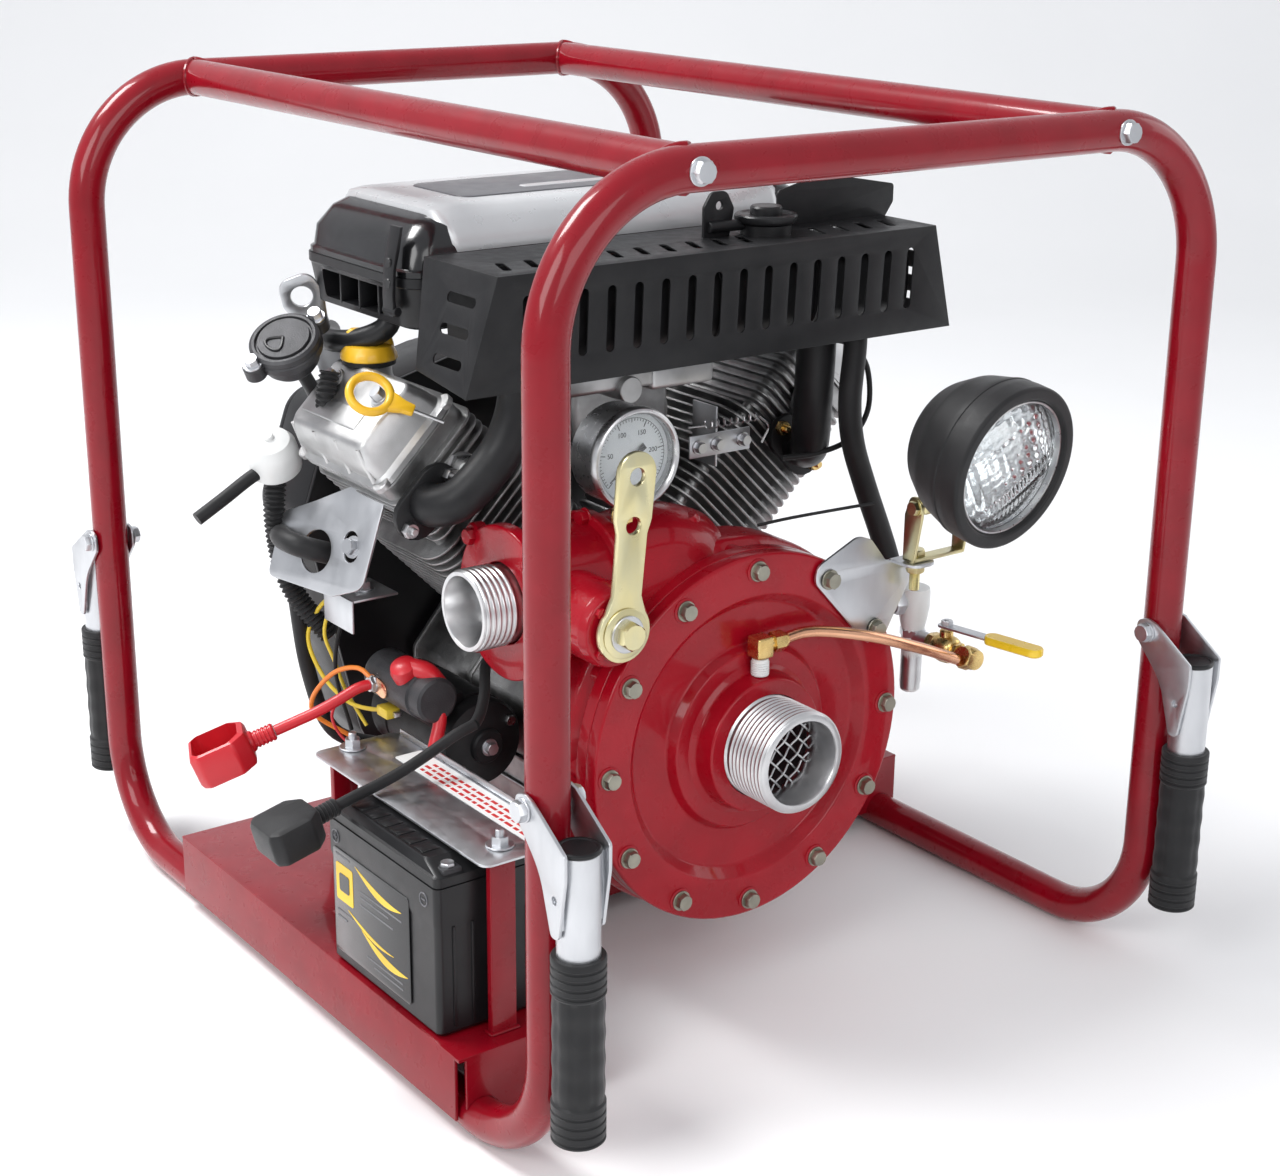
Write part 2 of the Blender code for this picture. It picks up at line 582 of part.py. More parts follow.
def work_lamp():
    """Round rubber-housed lamp on a swivelling yoke, carried by a plate on the cover bolts."""
    face = COVER_Y - 0.0030
    outline = [(0.0520, 0.3180), (0.0560, 0.3300), (0.0950, 0.3470), (0.1080, 0.3420),
               (0.1240, 0.3221), (0.1560, 0.3215), (0.1570, 0.3140), (0.1340, 0.2760), (0.1250, 0.2600),
               (0.1080, 0.2580), (0.1000, 0.2660)]
    bolts = [(0.1325 * math.cos(math.radians(a)), SHAFT_Z + 0.1325 * math.sin(math.radians(a)))
             for a in (30, 60)]
    sheet = plate("lamp_bracket", [soft_corners(outline, 0.003, 2),
                                   *[circle(u, v, 0.0045, 10) for u, v in bolts]],
                  0.0025, (0, face, 0), X, Z, "zinc_plate")
    tab = box("tab", (0.1290, face - 0.0260, 0.3200), (0.1560, face, 0.3225))
    hole = rod("hole", STUD - Z * 0.03, STUD + Z * 0.01, 0.0046, steps=14)
    smooth(cut(join(sheet, tab), hole))

    yoke = box("lamp_yoke", (STUD.x - 0.0130, STUD.y - 0.0110, 0.3228),
               (STUD.x + 0.0250, STUD.y + 0.0060, 0.3258),
               "yellow_zinc")
    ears = [box("ear", (x - 0.0013, STUD.y - 0.0110, 0.3240), (x + 0.0013, STUD.y + 0.0010, 0.3720))
            for x in (STUD.x - 0.0117, STUD.x + 0.0397)]
    foot = box("foot", (STUD.x - 0.0130, STUD.y - 0.0110, 0.3228),
               (STUD.x + 0.0410, STUD.y + 0.0010, 0.3258))
    shank = rod("shank", (STUD.x, STUD.y, 0.3240), (STUD.x, STUD.y, 0.2970), 0.0042, steps=12)
    nut = hexagon("nut", (STUD.x, STUD.y, 0.3193), (STUD.x, STUD.y, 0.3130), 0.0130)
    yoke = smooth(join(yoke, foot, *ears, shank, nut))

    back = LAMP_TILT - LAMP_AIM * 0.002 + Z * 0.046
    shell = turned("lamp_housing", [
        (0, -0.0060), (0.0230, -0.0040), (0.0400, 0.0060), (0.0510, 0.0240),
        (0.0585, 0.0560), (0.0585, 0.0680), (0.0560, 0.0700), (0.0490, 0.0700), (0.0480, 0.0640),
        (0.0500, 0.0560), (0.0430, 0.0260), (0.0200, 0.0060), (0, 0.0050)],
        back, LAMP_AIM, "black_rubber", 20)
    tongue = box("tongue", (STUD.x - 0.0100, LAMP_TILT.y - 0.0060, LAMP_TILT.z - 0.0060),
                 (STUD.x + 0.0380, LAMP_TILT.y + 0.0040, LAMP_TILT.z + 0.0120))
    shell = smooth(join(shell, tongue))
    lens = smooth(turned("lamp_lens", [
        (0, 0.0700), (0.0300, 0.0675), (0.0476, 0.0620), (0.0476, 0.0590), (0, 0.0590)],
        back, LAMP_AIM, "clear_glass", 20))
    pivot("lamp_swivel_axis", STUD, yoke)
    pivot("lamp_tilt_axis", LAMP_TILT, shell, lens)


# ---------------------------------------------------------------- engine
HEAD_R = 0.2995         # valve cover joint, from the crankshaft axis
CYL_SHIFT = 0.017       # cylinder centre plane above the 45 degree line


def bank(side, y_mid):
    """Matrix of a cylinder bank: Z out along the cylinder, X to the rear, Y towards the V."""
    out = Vector((side, 0, 1)).normalized()
    inward = Vector((-side, 0, 1)).normalized()
    origin = Vector((0, y_mid, SHAFT_Z)) + inward * CYL_SHIFT
    rotation = Matrix((inward.cross(out), inward, out)).transposed()
    return Matrix.Translation(origin) @ rotation.to_4x4()


def engine_block():
    chamfer = 0.1148 * math.sqrt(2)
    half, top = 0.115, 0.0966
    outline = [(-half, TRAY_Z + GAP - SHAFT_Z), (half, TRAY_Z + GAP - SHAFT_Z), (half, chamfer - half),
               (chamfer - top, top), (-chamfer + top, top), (-half, chamfer - half)]
    block = plate("crankcase", [outline], 0.188, (0, 0.0262, SHAFT_Z), X, Z, "cast_aluminium")
    bore = rod("bore", (0, -0.2, SHAFT_Z), (0, 0.2, SHAFT_Z), 0.0172, steps=20)
    cut(block, bore)
    for name, side, y_mid in (("left", -1, 0.012), ("right", 1, 0.030)):
        matrix = bank(side, y_mid)
        right_side, left_side = [], []
        start, end, pitch = 0.1152, 0.2350, 0.0100
        count = int((end - start) / pitch)
        for k in range(count):
            low = start + 0.004 + pitch * k
            right_side += [(0.0420, low), (0.0560, low), (0.0560, low + 0.0040),
                           (0.0420, low + 0.0040)]
        left_side = [(-u, v) for u, v in reversed(right_side)]
        comb = [(-0.0420, start), (0.0420, start), *right_side, (0.0470, end),
                (0.0470, HEAD_R - GAP), (-0.0430, HEAD_R - GAP), (-0.0430, end), *left_side]
        origin = matrix.translation
        y_dir = matrix.to_3x3() @ Z
        x_dir = matrix.to_3x3() @ Y
        plate(f"cylinder_{name}", [comb], 0.128, origin, x_dir, y_dir, "cast_aluminium")
        flange = box(f"valve_cover_{name}", (-0.0620, -0.0430, HEAD_R), (0.0620, 0.0430, HEAD_R + 0.0050),
                     "cast_aluminium", 0.0020, 1, matrix=matrix)
        dome = box("dome", (-0.0580, -0.0390, HEAD_R + 0.0040), (0.0580, 0.0390, HEAD_R + 0.0360),
                   bevel=0.0060, taper=(0.90, 0.74), matrix=matrix)
        cover = join(flange, dome)
        if side < 0:
            cap = Vector((-0.1900, 0.0400, 0))
            neck = rod("neck", (cap.x, cap.y, 0.4580), (cap.x, cap.y, 0.4715), 0.0165, steps=16)
            cover = join(cover, neck)
        smooth(cover, 30)


def engine_details():
    cap_low = 0.4720
    at = Vector((-0.1900, 0.0400, cap_low))
    cap = turned("oil_cap", [(0, 0.0120), (0.0170, 0.0110), (0.0205, 0.0070), (0.0215, 0.0), (0, 0)],
                 at, Z, "yellow_plastic", 20)
    wing = box("wing", (at.x - 0.0190, at.y - 0.0045, at.z + 0.004),
               (at.x + 0.0190, at.y + 0.0045, at.z + 0.0230),
               bevel=0.0030)
    cap = smooth(join(cap, wing))
    pivot("oil_cap_axis", at, cap)

    ring_at = Vector((-0.2318, -0.0350, 0.4688))
    tip = Vector((-0.1900, -0.0660, 0.4487))
    along = (tip - ring_at).normalized()
    out = Vector((-1, 0, 1)).normalized()
    out = (out - along * out.dot(along)).normalized()
    ring = plate("dipstick", [circle(0, 0, 0.0180, 20), circle(0, 0, 0.0110, 16)], 0.0040,
                 ring_at, along, out.cross(along), "yellow_plastic")
    neck = rod("neck", ring_at + along * 0.0145, ring_at + along * 0.0300, 0.0042, steps=10)
    wire = rod("wire", ring_at + along * 0.0280, tip, 0.0014, steps=8)
    stick = smooth(join(ring, neck, wire))
    pivot("dipstick_axis", tip, stick)

    # Rear blower housing round the flywheel fan, open at the back for its intake.
    outline = soft_corners([(-0.125, -0.128), (0.125, -0.128), (0.160, -0.060), (0.205, 0.130),
                            (0.175, 0.215), (0.060, 0.245), (-0.060, 0.245), (-0.175, 0.215),
                            (-0.205, 0.130), (-0.160, -0.060)], 0.030, 3)
    shell = plate("blower_housing", [outline], 0.085, (0, 0.1680, SHAFT_Z), X, Z, "black_plastic")
    work = bmesh.new()
    work.from_mesh(shell.data)
    rim = [e for e in work.edges if all(v.co.z < -0.0424 for v in e.verts)
           and e.calc_face_angle(0) > 1]
    bmesh.ops.bevel(work, geom=rim, offset=0.014, segments=2, profile=0.5, affect="EDGES")
    work.to_mesh(shell.data)
    work.free()
    chamber = rod("chamber", (0, 0.1, SHAFT_Z), (0, 0.1980, SHAFT_Z), 0.1220, steps=24)
    intake = rod("intake", (0, 0.15, SHAFT_Z), (0, 0.25, SHAFT_Z), 0.0900, steps=24)
    smooth(cut(shell, chamber, intake))

    starter = turned("starter_motor", [
        (0, 0.0620), (0.0300, 0.0620), (0.0360, 0.0570), (0.0360, -0.0600), (0.0300, -0.0640),
        (0, -0.0640)],
        (-0.1535, 0, 0.1900), -Y, "black_steel", 20)
    solenoid = rod("solenoid", (-0.1960, -0.0600, 0.2360), (-0.1960, 0.0200, 0.2360), 0.0190, steps=16)
    web = box("web", (-0.1960, -0.0500, 0.2050), (-0.1650, -0.0050, 0.2300))
    smooth(join(starter, solenoid, web))

    disc_at = Vector((-0.2470, 0.0600, 0.4880))
    facing = Vector((-0.45, -0.35, 0.82)).normalized()
    pump = turned("fuel_pump", [(0, 0.0100), (0.0210, 0.0100), (0.0265, 0.0060), (0.0265, -0.0140),
                                (0.0180, -0.0200), (0, -0.0200)], disc_at, facing, "black_plastic", 24)
    across = facing.cross(Y).normalized()
    ears = [rod("ear", disc_at + across * s * 0.0300 - facing * 0.006,
                disc_at + across * s * 0.0300 + facing * 0.002,
                0.0080, steps=12) for s in (-1, 1)]
    smooth(join(pump, *ears))

    manifold = box("carburetor", (-0.0500, -0.0200, 0.3800), (0.0500, 0.0700, 0.5080), "cast_aluminium",
                   0.0060, 1)
    arms = [rod("arm", (0, 0.025, 0.410), (side * 0.0620, 0.025, 0.410), 0.0200, steps=14)
            for side in (-1, 1)]
    smooth(join(manifold, *arms))


def air_cleaner():
    low, split, top = 0.5090, 0.5480, 0.5960
    x0, x1, y0, y1 = -0.2050, 0.1750, -0.0480, 0.1150
    base = box("air_cleaner_base", (x0, y0, low), (x1, y1, split - GAP), "black_plastic", 0.0080)
    well = box("well", (x0 + 0.055, y0 + 0.012, low + 0.008), (x1 - 0.010, y1 - 0.012, split + 0.01))
    scoop = box("scoop", (x0 - 0.01, y0 + 0.030, low + 0.007), (x0 + 0.045, y1 - 0.030, split - 0.010))
    smooth(cut(base, well, scoop))
    cover = box("air_cleaner_cover", (x0, y0, split), (x1, y1, top), "grey_plastic", 0.0120, 3,
                taper=(0.95, 0.90))
    hollow = box("hollow", (x0 + 0.020, y0 + 0.018, split - 0.01), (x1 - 0.020, y1 - 0.018, top - 0.010))
    cover = smooth(cut(cover, hollow))
    element = box("air_filter_element", (x0 + 0.070, y0 + 0.024, low + 0.0090),
                  (x1 - 0.030, y1 - 0.024, split + 0.026),
                  "filter_paper", 0.006, 1)
    smooth(element)
    hinge = Vector((x0 - 0.0045, -0.0300, 0.5250))
    clip = plate("air_cleaner_latch", [[(0, -0.0034), (0.003, -0.0034), (0.003, 0.030), (-0.003, 0.060),
                                        (-0.006, 0.060), (0, 0.028)]],
                 0.014, hinge, -X, Z, "black_plastic")
    knuckle = rod("knuckle", hinge - Y * 0.008, hinge + Y * 0.008, 0.0035, steps=12)
    clip = smooth(join(clip, knuckle))
    pivot("latch_axis", hinge, clip)


def exhaust():
    thick = 0.0016
    front, back = GUARD_FRONT, -0.0560
    top_x, low_x = 0.1980, 0.2220
    work = bmesh.new()
    bmesh.ops.create_cube(work, size=1.0)
    for vert in work.verts:
        high = vert.co.z > 0
        half = top_x if high else low_x
        vert.co = Vector((math.copysign(half, vert.co.x),
                          front + (0 if high else 0.004) if vert.co.y < 0 else back,
                          GUARD_TOP if high else GUARD_LOW))
    gone = [f for f in work.faces if abs(f.normal.y) > 0.9 and f.calc_center_median().y > front + 0.02
            or f.calc_center_median().z < GUARD_LOW + 0.001]
    bmesh.ops.delete(work, geom=gone, context="FACES_ONLY")
    mesh = bpy.data.meshes.new("heat_guard")
    work.to_mesh(mesh)
    work.free()
    guard = place("heat_guard", mesh, "black_steel")
    sheet = guard.modifiers.new("sheet", "SOLIDIFY")
    sheet.thickness = thick
    sheet.offset = -1
    sheet.use_even_offset = True
    guard = settle(guard)
    cutters = []
    for k in range(16):
        x = -0.1740 + 0.0232 * k
        cutters.append(box("slot", (x - 0.0035, front - 0.01, 0.5065),
                           (x + 0.0035, front + 0.01, 0.5485)))
        cutters.append(box("slot", (x - 0.0030, front + 0.025, GUARD_TOP - 0.01),
                           (x + 0.0030, front + 0.051, GUARD_TOP + 0.01)))
    for side in (-1, 1):
        for k in range(3):
            z = 0.5060 + 0.0200 * k
            cutters.append(box("slot", (side * 0.2100 - 0.02, -0.1260, z - 0.0035),
                               (side * 0.2100 + 0.02, -0.0900, z + 0.0035)))
    guard = cut(guard, *cutters)
    boss_at = Vector((0.0650, -0.1080, GUARD_TOP - 0.0008))
    boss = turned("boss", [(0, 0.0150), (0.0230, 0.0150), (0.0230, 0.0110), (0.0190, 0.0090),
                           (0.0190, 0.0), (0, 0)], boss_at, Z, steps=24)
    stay = plate("stay", [[(0.0900, GUARD_TOP - 0.001), (0.2000, GUARD_TOP - 0.001), (0.2080, 0.5760),
                           (0.2080, 0.5900), (0.1350, 0.6030), (0.0900, 0.5930)]], 0.0016,
                 (0, -0.0900, 0), X, Z)
    guard = join(guard, boss, stay)

    can = box("muffler", (-0.1850, -0.1400, 0.4920), (0.1850, -0.0600, 0.5600), "black_steel", 0.020, 3)
    smooth(can)
    left = catmull([(-0.2000, -0.0545, 0.3900), (-0.2000, -0.0700, 0.3900), (-0.1880, -0.0880, 0.4000),
                    (-0.1620, -0.0960, 0.4300), (-0.1500, -0.1000, 0.4620),
                    (-0.1500, -0.1000, 0.4908)], 0.018)
    smooth(tube("exhaust_pipe_left", left, 0.0155, "black_steel", 3))
    right = catmull([(0.1600, -0.0365, 0.3750), (0.1590, -0.0540, 0.3750), (0.1420, -0.0780, 0.3900),
                     (0.1330, -0.0900, 0.4250), (0.1300, -0.0950, 0.4620), (0.1300, -0.0950, 0.4908)],
                     0.018)
    smooth(tube("exhaust_pipe_right", right, 0.0155, "black_steel", 3))


# ---------------------------------------------------------------- battery and leads
def battery():
    low = TRAY_Z + GAP
    case = box("battery", (-0.2980, -0.2220, low), (-0.2110, -0.0720, 0.1780), "black_plastic", 0.0030, 1)
    lid = box("lid", (-0.2970, -0.2210, 0.1740), (-0.2120, -0.0730, 0.1920), bevel=0.0030, segments=1)
    smooth(join(case, lid))
    plate("battery_clamp", [soft_corners([(-0.2740, -0.2440), (-0.2020, -0.2440), (-0.2020, -0.0060),
                                          (-0.2740, -0.0060)], 0.004, 2)],
          0.0020, (0, 0, 0.1950), X, Y, "zinc_plate")


# Each lead is short, stiff starter cable, straight out of its terminal and drooping a little.
RED_ROUTE = [(-0.2165, 0.0000, 0.2360), (-0.2290, 0.0020, 0.2345), (-0.2440, 0.0060, 0.2270),
             (-0.2590, 0.0120, 0.2190), (-0.2740, 0.0190, 0.2120), (-0.2880, 0.0250, 0.2060)]
BLACK_ROUTE = [(-0.1900, -0.1000, 0.2300), (-0.2050, -0.1000, 0.2260), (-0.2200, -0.1000, 0.2200),
               (-0.2350, -0.1000, 0.2140), (-0.2520, -0.1000, 0.2080), (-0.2700, -0.1000, 0.2030),
               (-0.2880, -0.1000, 0.1990), (-0.3040, -0.1000, 0.1950)]


def boot(name, start, aim, mat, face):
    """Soft terminal cover: a neck for the cable and a flat pocket open upward (1) or downward (-1)."""
    start, aim = Vector(start), Vector(aim).normalized()
    up = (Z - aim * Z.dot(aim)).normalized()
    matrix = Matrix.Translation(start) @ Matrix((aim, up.cross(aim), up)).transposed().to_4x4()
    body = box(name, (0.0160, -0.0200, -0.0130), (0.0560, 0.0200, 0.0130), mat, 0.0050, 1, matrix=matrix)
    neck = rod("neck", start, start + aim * 0.0220, 0.0071, steps=12)
    low, high = sorted((face * 0.0200, -face * 0.0100))
    pocket = box("pocket", (0.0230, -0.0165, low), (0.0520, 0.0165, high), bevel=0.0030, segments=1,
                 matrix=matrix)
    smooth(cut(join(body, neck), pocket))


def leads():
    smooth(tube("red_lead", catmull(RED_ROUTE, 0.010), 0.0042, "red_rubber", 2))
    smooth(tube("black_lead", catmull(BLACK_ROUTE, 0.010), 0.0042, "black_rubber", 2))
    for name, route, mat, face in (("red_boot", RED_ROUTE, "red_rubber", 1),
                                   ("black_boot", BLACK_ROUTE, "black_rubber", -1)):
        last, before = Vector(route[-1]), Vector(route[-2])
        aim = (last - before).normalized()
        boot(name, last + aim * GAP * 2, aim, mat, face)


carry_frame()
base_tray()
carry_handles()
pump_end()
rotor()
discharge_valve()
pressure_gauge()
priming_line()
work_lamp()
engine_block()
engine_details()
air_cleaner()
exhaust()
battery()
leads()
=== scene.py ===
"""Visual model of a portable fire pump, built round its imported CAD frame.

Metres, +Z up. X runs across the front, -Y is the suction side, -X the discharge side.
"""
import math

import bmesh
import bpy
from mathutils import Matrix, Vector


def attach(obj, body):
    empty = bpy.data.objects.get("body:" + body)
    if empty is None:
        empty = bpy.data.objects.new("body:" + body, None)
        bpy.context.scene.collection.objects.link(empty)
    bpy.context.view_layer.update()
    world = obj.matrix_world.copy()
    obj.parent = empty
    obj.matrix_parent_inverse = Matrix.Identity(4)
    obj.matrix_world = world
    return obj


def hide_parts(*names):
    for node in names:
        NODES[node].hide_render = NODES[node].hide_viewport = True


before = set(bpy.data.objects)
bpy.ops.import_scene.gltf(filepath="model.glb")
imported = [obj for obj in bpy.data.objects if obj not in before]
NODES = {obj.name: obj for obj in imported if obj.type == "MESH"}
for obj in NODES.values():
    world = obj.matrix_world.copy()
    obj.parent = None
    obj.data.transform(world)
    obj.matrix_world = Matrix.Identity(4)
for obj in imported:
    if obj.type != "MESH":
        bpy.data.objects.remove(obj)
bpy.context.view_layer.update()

X, Y, Z = Vector((1, 0, 0)), Vector((0, 1, 0)), Vector((0, 0, 1))
SHAFT_Z = 0.2034
POST_X, POST_Y, TOP_Z, TUBE_R = 0.282, 0.332, 0.656, 0.0143
RAIL_X, PIVOT_Z = 0.1825, 0.277
COVER_Y, BOLT_R = -0.188, 0.1325
OUTLET_Y, OUTLET_Z, OUTLET_END_X = -0.115, 0.3245, -0.2075
VALVE_X, LEVER_Y = -0.140, -0.214
GAUGE = Vector((-0.0880, -0.1600, 0.4270))
ELBOW = Vector((0.0, -0.1940, 0.2800))
PRIMER = Vector((0.2080, -0.2040, 0.2290))
STUD = Vector((0.1460, -0.2010, 0.3330))
LAMP_TILT = Vector((0.1600, -0.2130, 0.3680))
LAMP_AIM = Vector((0.06, -0.985, -0.16)).normalized()


# ---------------------------------------------------------------- camera
VIEW_ANGLES = (-36.476, 18.577, 0.592)
EYE = (-0.9581, -1.3397, 0.8245)
SENSOR, FOCAL = 36.0, 60.57


def camera():
    """Viewpoint solved for the picture of the object."""
    turn, rise, roll = (math.radians(a) for a in VIEW_ANGLES)
    back = Vector((math.sin(turn) * math.cos(rise), -math.cos(turn) * math.cos(rise), math.sin(rise)))
    right = (-back).cross(Z).normalized()
    up = right.cross(-back)
    side = math.cos(roll) * right + math.sin(roll) * up
    top = -math.sin(roll) * right + math.cos(roll) * up
    data = bpy.data.cameras.new("camera")
    data.sensor_width = SENSOR
    data.lens = FOCAL
    data.clip_start = 0.05
    obj = bpy.data.objects.new("camera", data)
    matrix = Matrix((side, top, back)).transposed().to_4x4()
    obj.matrix_world = Matrix.Translation(EYE) @ matrix
    bpy.context.scene.collection.objects.link(obj)
    bpy.context.scene.camera = obj


camera()


# ---------------------------------------------------------------- materials
MATS = {}


def material(name, colour, rough, metal=0.0, other=None, patch=30.0, grain=(600.0, 0.15, 0.0004),
        spread=0.10, coat=0.0, spec=0.5, stretch=(1, 1, 1), transmission=0.0, sheen=0.0):
    """Procedural finish: two tones in patches, uneven roughness and a fine relief."""
    mat = bpy.data.materials.new("finish_" + name)
    mat.use_nodes = True
    nodes, links = mat.node_tree.nodes, mat.node_tree.links
    shader = nodes["Principled BSDF"]
    shader.inputs["Metallic"].default_value = metal
    shader.inputs["Coat Weight"].default_value = coat
    shader.inputs["Specular IOR Level"].default_value = spec
    shader.inputs["Coat Roughness"].default_value = 0.06
    shader.inputs["Transmission Weight"].default_value = transmission
    shader.inputs["Sheen Weight"].default_value = sheen
    shader.inputs["Emission Strength"].default_value = 0.0
    where = nodes.new("ShaderNodeTexCoord")
    mapping = nodes.new("ShaderNodeMapping")
    mapping.inputs["Scale"].default_value = stretch
    links.new(where.outputs["Object"], mapping.inputs["Vector"])

    def noise(scale, detail):
        tex = nodes.new("ShaderNodeTexNoise")
        tex.inputs["Scale"].default_value = scale
        tex.inputs["Detail"].default_value = detail
        links.new(mapping.outputs["Vector"], tex.inputs["Vector"])
        return tex.outputs["Fac"]

    broad = noise(patch, 4.0)
    ramp = nodes.new("ShaderNodeValToRGB")
    other = other or tuple(c * 0.82 for c in colour)
    ramp.color_ramp.elements[0].position = 0.35
    ramp.color_ramp.elements[0].color = (*other, 1)
    ramp.color_ramp.elements[1].position = 0.65
    ramp.color_ramp.elements[1].color = (*colour, 1)
    links.new(broad, ramp.inputs["Fac"])
    links.new(ramp.outputs["Color"], shader.inputs["Base Color"])
    span = nodes.new("ShaderNodeMapRange")
    span.inputs["From Min"].default_value = 0.3
    span.inputs["From Max"].default_value = 0.7
    span.inputs["To Min"].default_value = max(0.0, rough - spread / 2)
    span.inputs["To Max"].default_value = min(1.0, rough + spread / 2)
    links.new(noise(patch * 2.7, 6.0), span.inputs["Value"])
    links.new(span.outputs["Result"], shader.inputs["Roughness"])
    scale, strength, depth = grain
    bump = nodes.new("ShaderNodeBump")
    bump.inputs["Strength"].default_value = strength
    bump.inputs["Distance"].default_value = depth
    links.new(noise(scale, 3.0), bump.inputs["Height"])
    links.new(bump.outputs["Normal"], shader.inputs["Normal"])
    MATS[name] = mat
    return mat


material("frame_red", (0.235, 0.0022, 0.0095), 0.30, other=(0.200, 0.0018, 0.0075), coat=0.5, spec=0.15,
        grain=(260.0, 0.03, 0.0003))
material("pump_red", (0.345, 0.0028, 0.0120), 0.30, other=(0.290, 0.0022, 0.0095), coat=0.4, spec=0.15,
        grain=(330.0, 0.30, 0.0008))
material("cast_aluminium", (0.43, 0.43, 0.43), 0.42, 1.0, other=(0.30, 0.30, 0.30), patch=55.0,
        grain=(1100.0, 0.45, 0.0006), spread=0.16)
material("bright_casting", (0.56, 0.56, 0.56), 0.40, 1.0, other=(0.46, 0.46, 0.46), patch=40.0,
        grain=(1400.0, 0.30, 0.0005), spread=0.12)
material("machined_aluminium", (0.66, 0.66, 0.66), 0.33, 1.0, other=(0.56, 0.56, 0.57), patch=60.0,
        grain=(900.0, 0.12, 0.0002))
material("grey_casting", (0.050, 0.050, 0.054), 0.46, 0.3, other=(0.032, 0.032, 0.035), patch=60.0,
        grain=(1000.0, 0.4, 0.0005))
material("black_steel", (0.0085, 0.0085, 0.0095), 0.42, spec=0.28, other=(0.013, 0.013, 0.014),
        patch=45.0, grain=(1500.0, 0.35, 0.0003), spread=0.12)
material("black_plastic", (0.0080, 0.0080, 0.0090), 0.34, spec=0.35, other=(0.012, 0.012, 0.013),
        patch=25.0, grain=(1900.0, 0.25, 0.0002))
material("black_gloss", (0.0070, 0.0070, 0.0080), 0.20, other=(0.010, 0.010, 0.011), coat=0.3,
        grain=(900.0, 0.06, 0.0002))
material("black_rubber", (0.0085, 0.0085, 0.0092), 0.50, spec=0.28, other=(0.014, 0.014, 0.015),
        patch=40.0, grain=(1700.0, 0.35, 0.0003), sheen=0.1)
material("zinc_plate", (0.62, 0.63, 0.65), 0.36, 1.0, other=(0.55, 0.56, 0.58), patch=45.0,
        grain=(700.0, 0.10, 0.0002), stretch=(1, 1, 0.35))
material("aged_zinc", (0.40, 0.385, 0.32), 0.42, 1.0, other=(0.31, 0.30, 0.25), patch=90.0,
        grain=(700.0, 0.20, 0.0003))
material("yellow_zinc", (0.74, 0.66, 0.36), 0.32, 1.0, other=(0.66, 0.62, 0.40), patch=50.0,
        grain=(800.0, 0.15, 0.0003), stretch=(1, 1, 0.5))
material("brass", (0.78, 0.57, 0.24), 0.26, 1.0, other=(0.66, 0.46, 0.18), patch=70.0,
        grain=(900.0, 0.15, 0.0003))
material("copper", (0.88, 0.50, 0.32), 0.24, 1.0, other=(0.78, 0.40, 0.24), patch=60.0,
        grain=(500.0, 0.12, 0.0003), stretch=(0.3, 1, 1))
material("steel", (0.60, 0.60, 0.60), 0.30, 1.0, other=(0.46, 0.46, 0.47), patch=70.0,
        grain=(900.0, 0.15, 0.0003))
material("yellow_plastic", (0.80, 0.47, 0.02), 0.36, other=(0.72, 0.40, 0.015), coat=0.2,
        grain=(1400.0, 0.15, 0.0002))
material("yellow_vinyl", (0.86, 0.58, 0.03), 0.30, other=(0.80, 0.52, 0.02), coat=0.3,
        grain=(700.0, 0.15, 0.0003))
material("silver_plastic", (0.66, 0.67, 0.68), 0.30, 0.35, other=(0.60, 0.61, 0.62), patch=20.0,
        coat=0.3, grain=(2200.0, 0.12, 0.0002))
material("grey_plastic", (0.10, 0.10, 0.11), 0.34, other=(0.12, 0.12, 0.13), patch=20.0,
        grain=(2000.0, 0.15, 0.0002))
material("white_plastic", (0.78, 0.79, 0.78), 0.34, other=(0.70, 0.71, 0.70), coat=0.15,
        grain=(1200.0, 0.10, 0.0002))
material("dial", (0.84, 0.85, 0.86), 0.30, other=(0.80, 0.81, 0.83), grain=(900.0, 0.05, 0.0001))
material("ink", (0.02, 0.02, 0.022), 0.45, other=(0.03, 0.03, 0.03), grain=(900.0, 0.05, 0.0001))
material("label_red", (0.55, 0.03, 0.03), 0.40, other=(0.48, 0.03, 0.03), grain=(900.0, 0.05, 0.0001))
material("label_yellow", (0.85, 0.58, 0.03), 0.40, other=(0.78, 0.50, 0.03),
        grain=(900.0, 0.05, 0.0001))
material("red_rubber", (0.58, 0.012, 0.022), 0.36, other=(0.50, 0.010, 0.018), coat=0.1,
        grain=(900.0, 0.20, 0.0003))
material("wire_yellow", (0.80, 0.60, 0.05), 0.40, other=(0.72, 0.52, 0.04), grain=(900.0, 0.1, 0.0002))
material("wire_orange", (0.85, 0.25, 0.03), 0.40, other=(0.75, 0.20, 0.03), grain=(900.0, 0.1, 0.0002))
material("wire_red", (0.62, 0.02, 0.03), 0.40, other=(0.54, 0.02, 0.03), grain=(900.0, 0.1, 0.0002))
material("filter_paper", (0.78, 0.72, 0.56), 0.85, other=(0.70, 0.64, 0.48), grain=(800.0, 0.5, 0.0005))
material("reflector", (0.90, 0.90, 0.90), 0.12, 1.0, other=(0.82, 0.82, 0.83),
        grain=(120.0, 0.20, 0.0010), spread=0.06)
material("lens_glass", (0.96, 0.98, 0.98), 0.04, other=(0.92, 0.95, 0.96), transmission=1.0,
        grain=(160.0, 0.10, 0.0006), spread=0.02)
material("floor", (0.92, 0.92, 0.92), 0.60, other=(0.90, 0.90, 0.90), patch=1.5,
        grain=(60.0, 0.05, 0.0004))


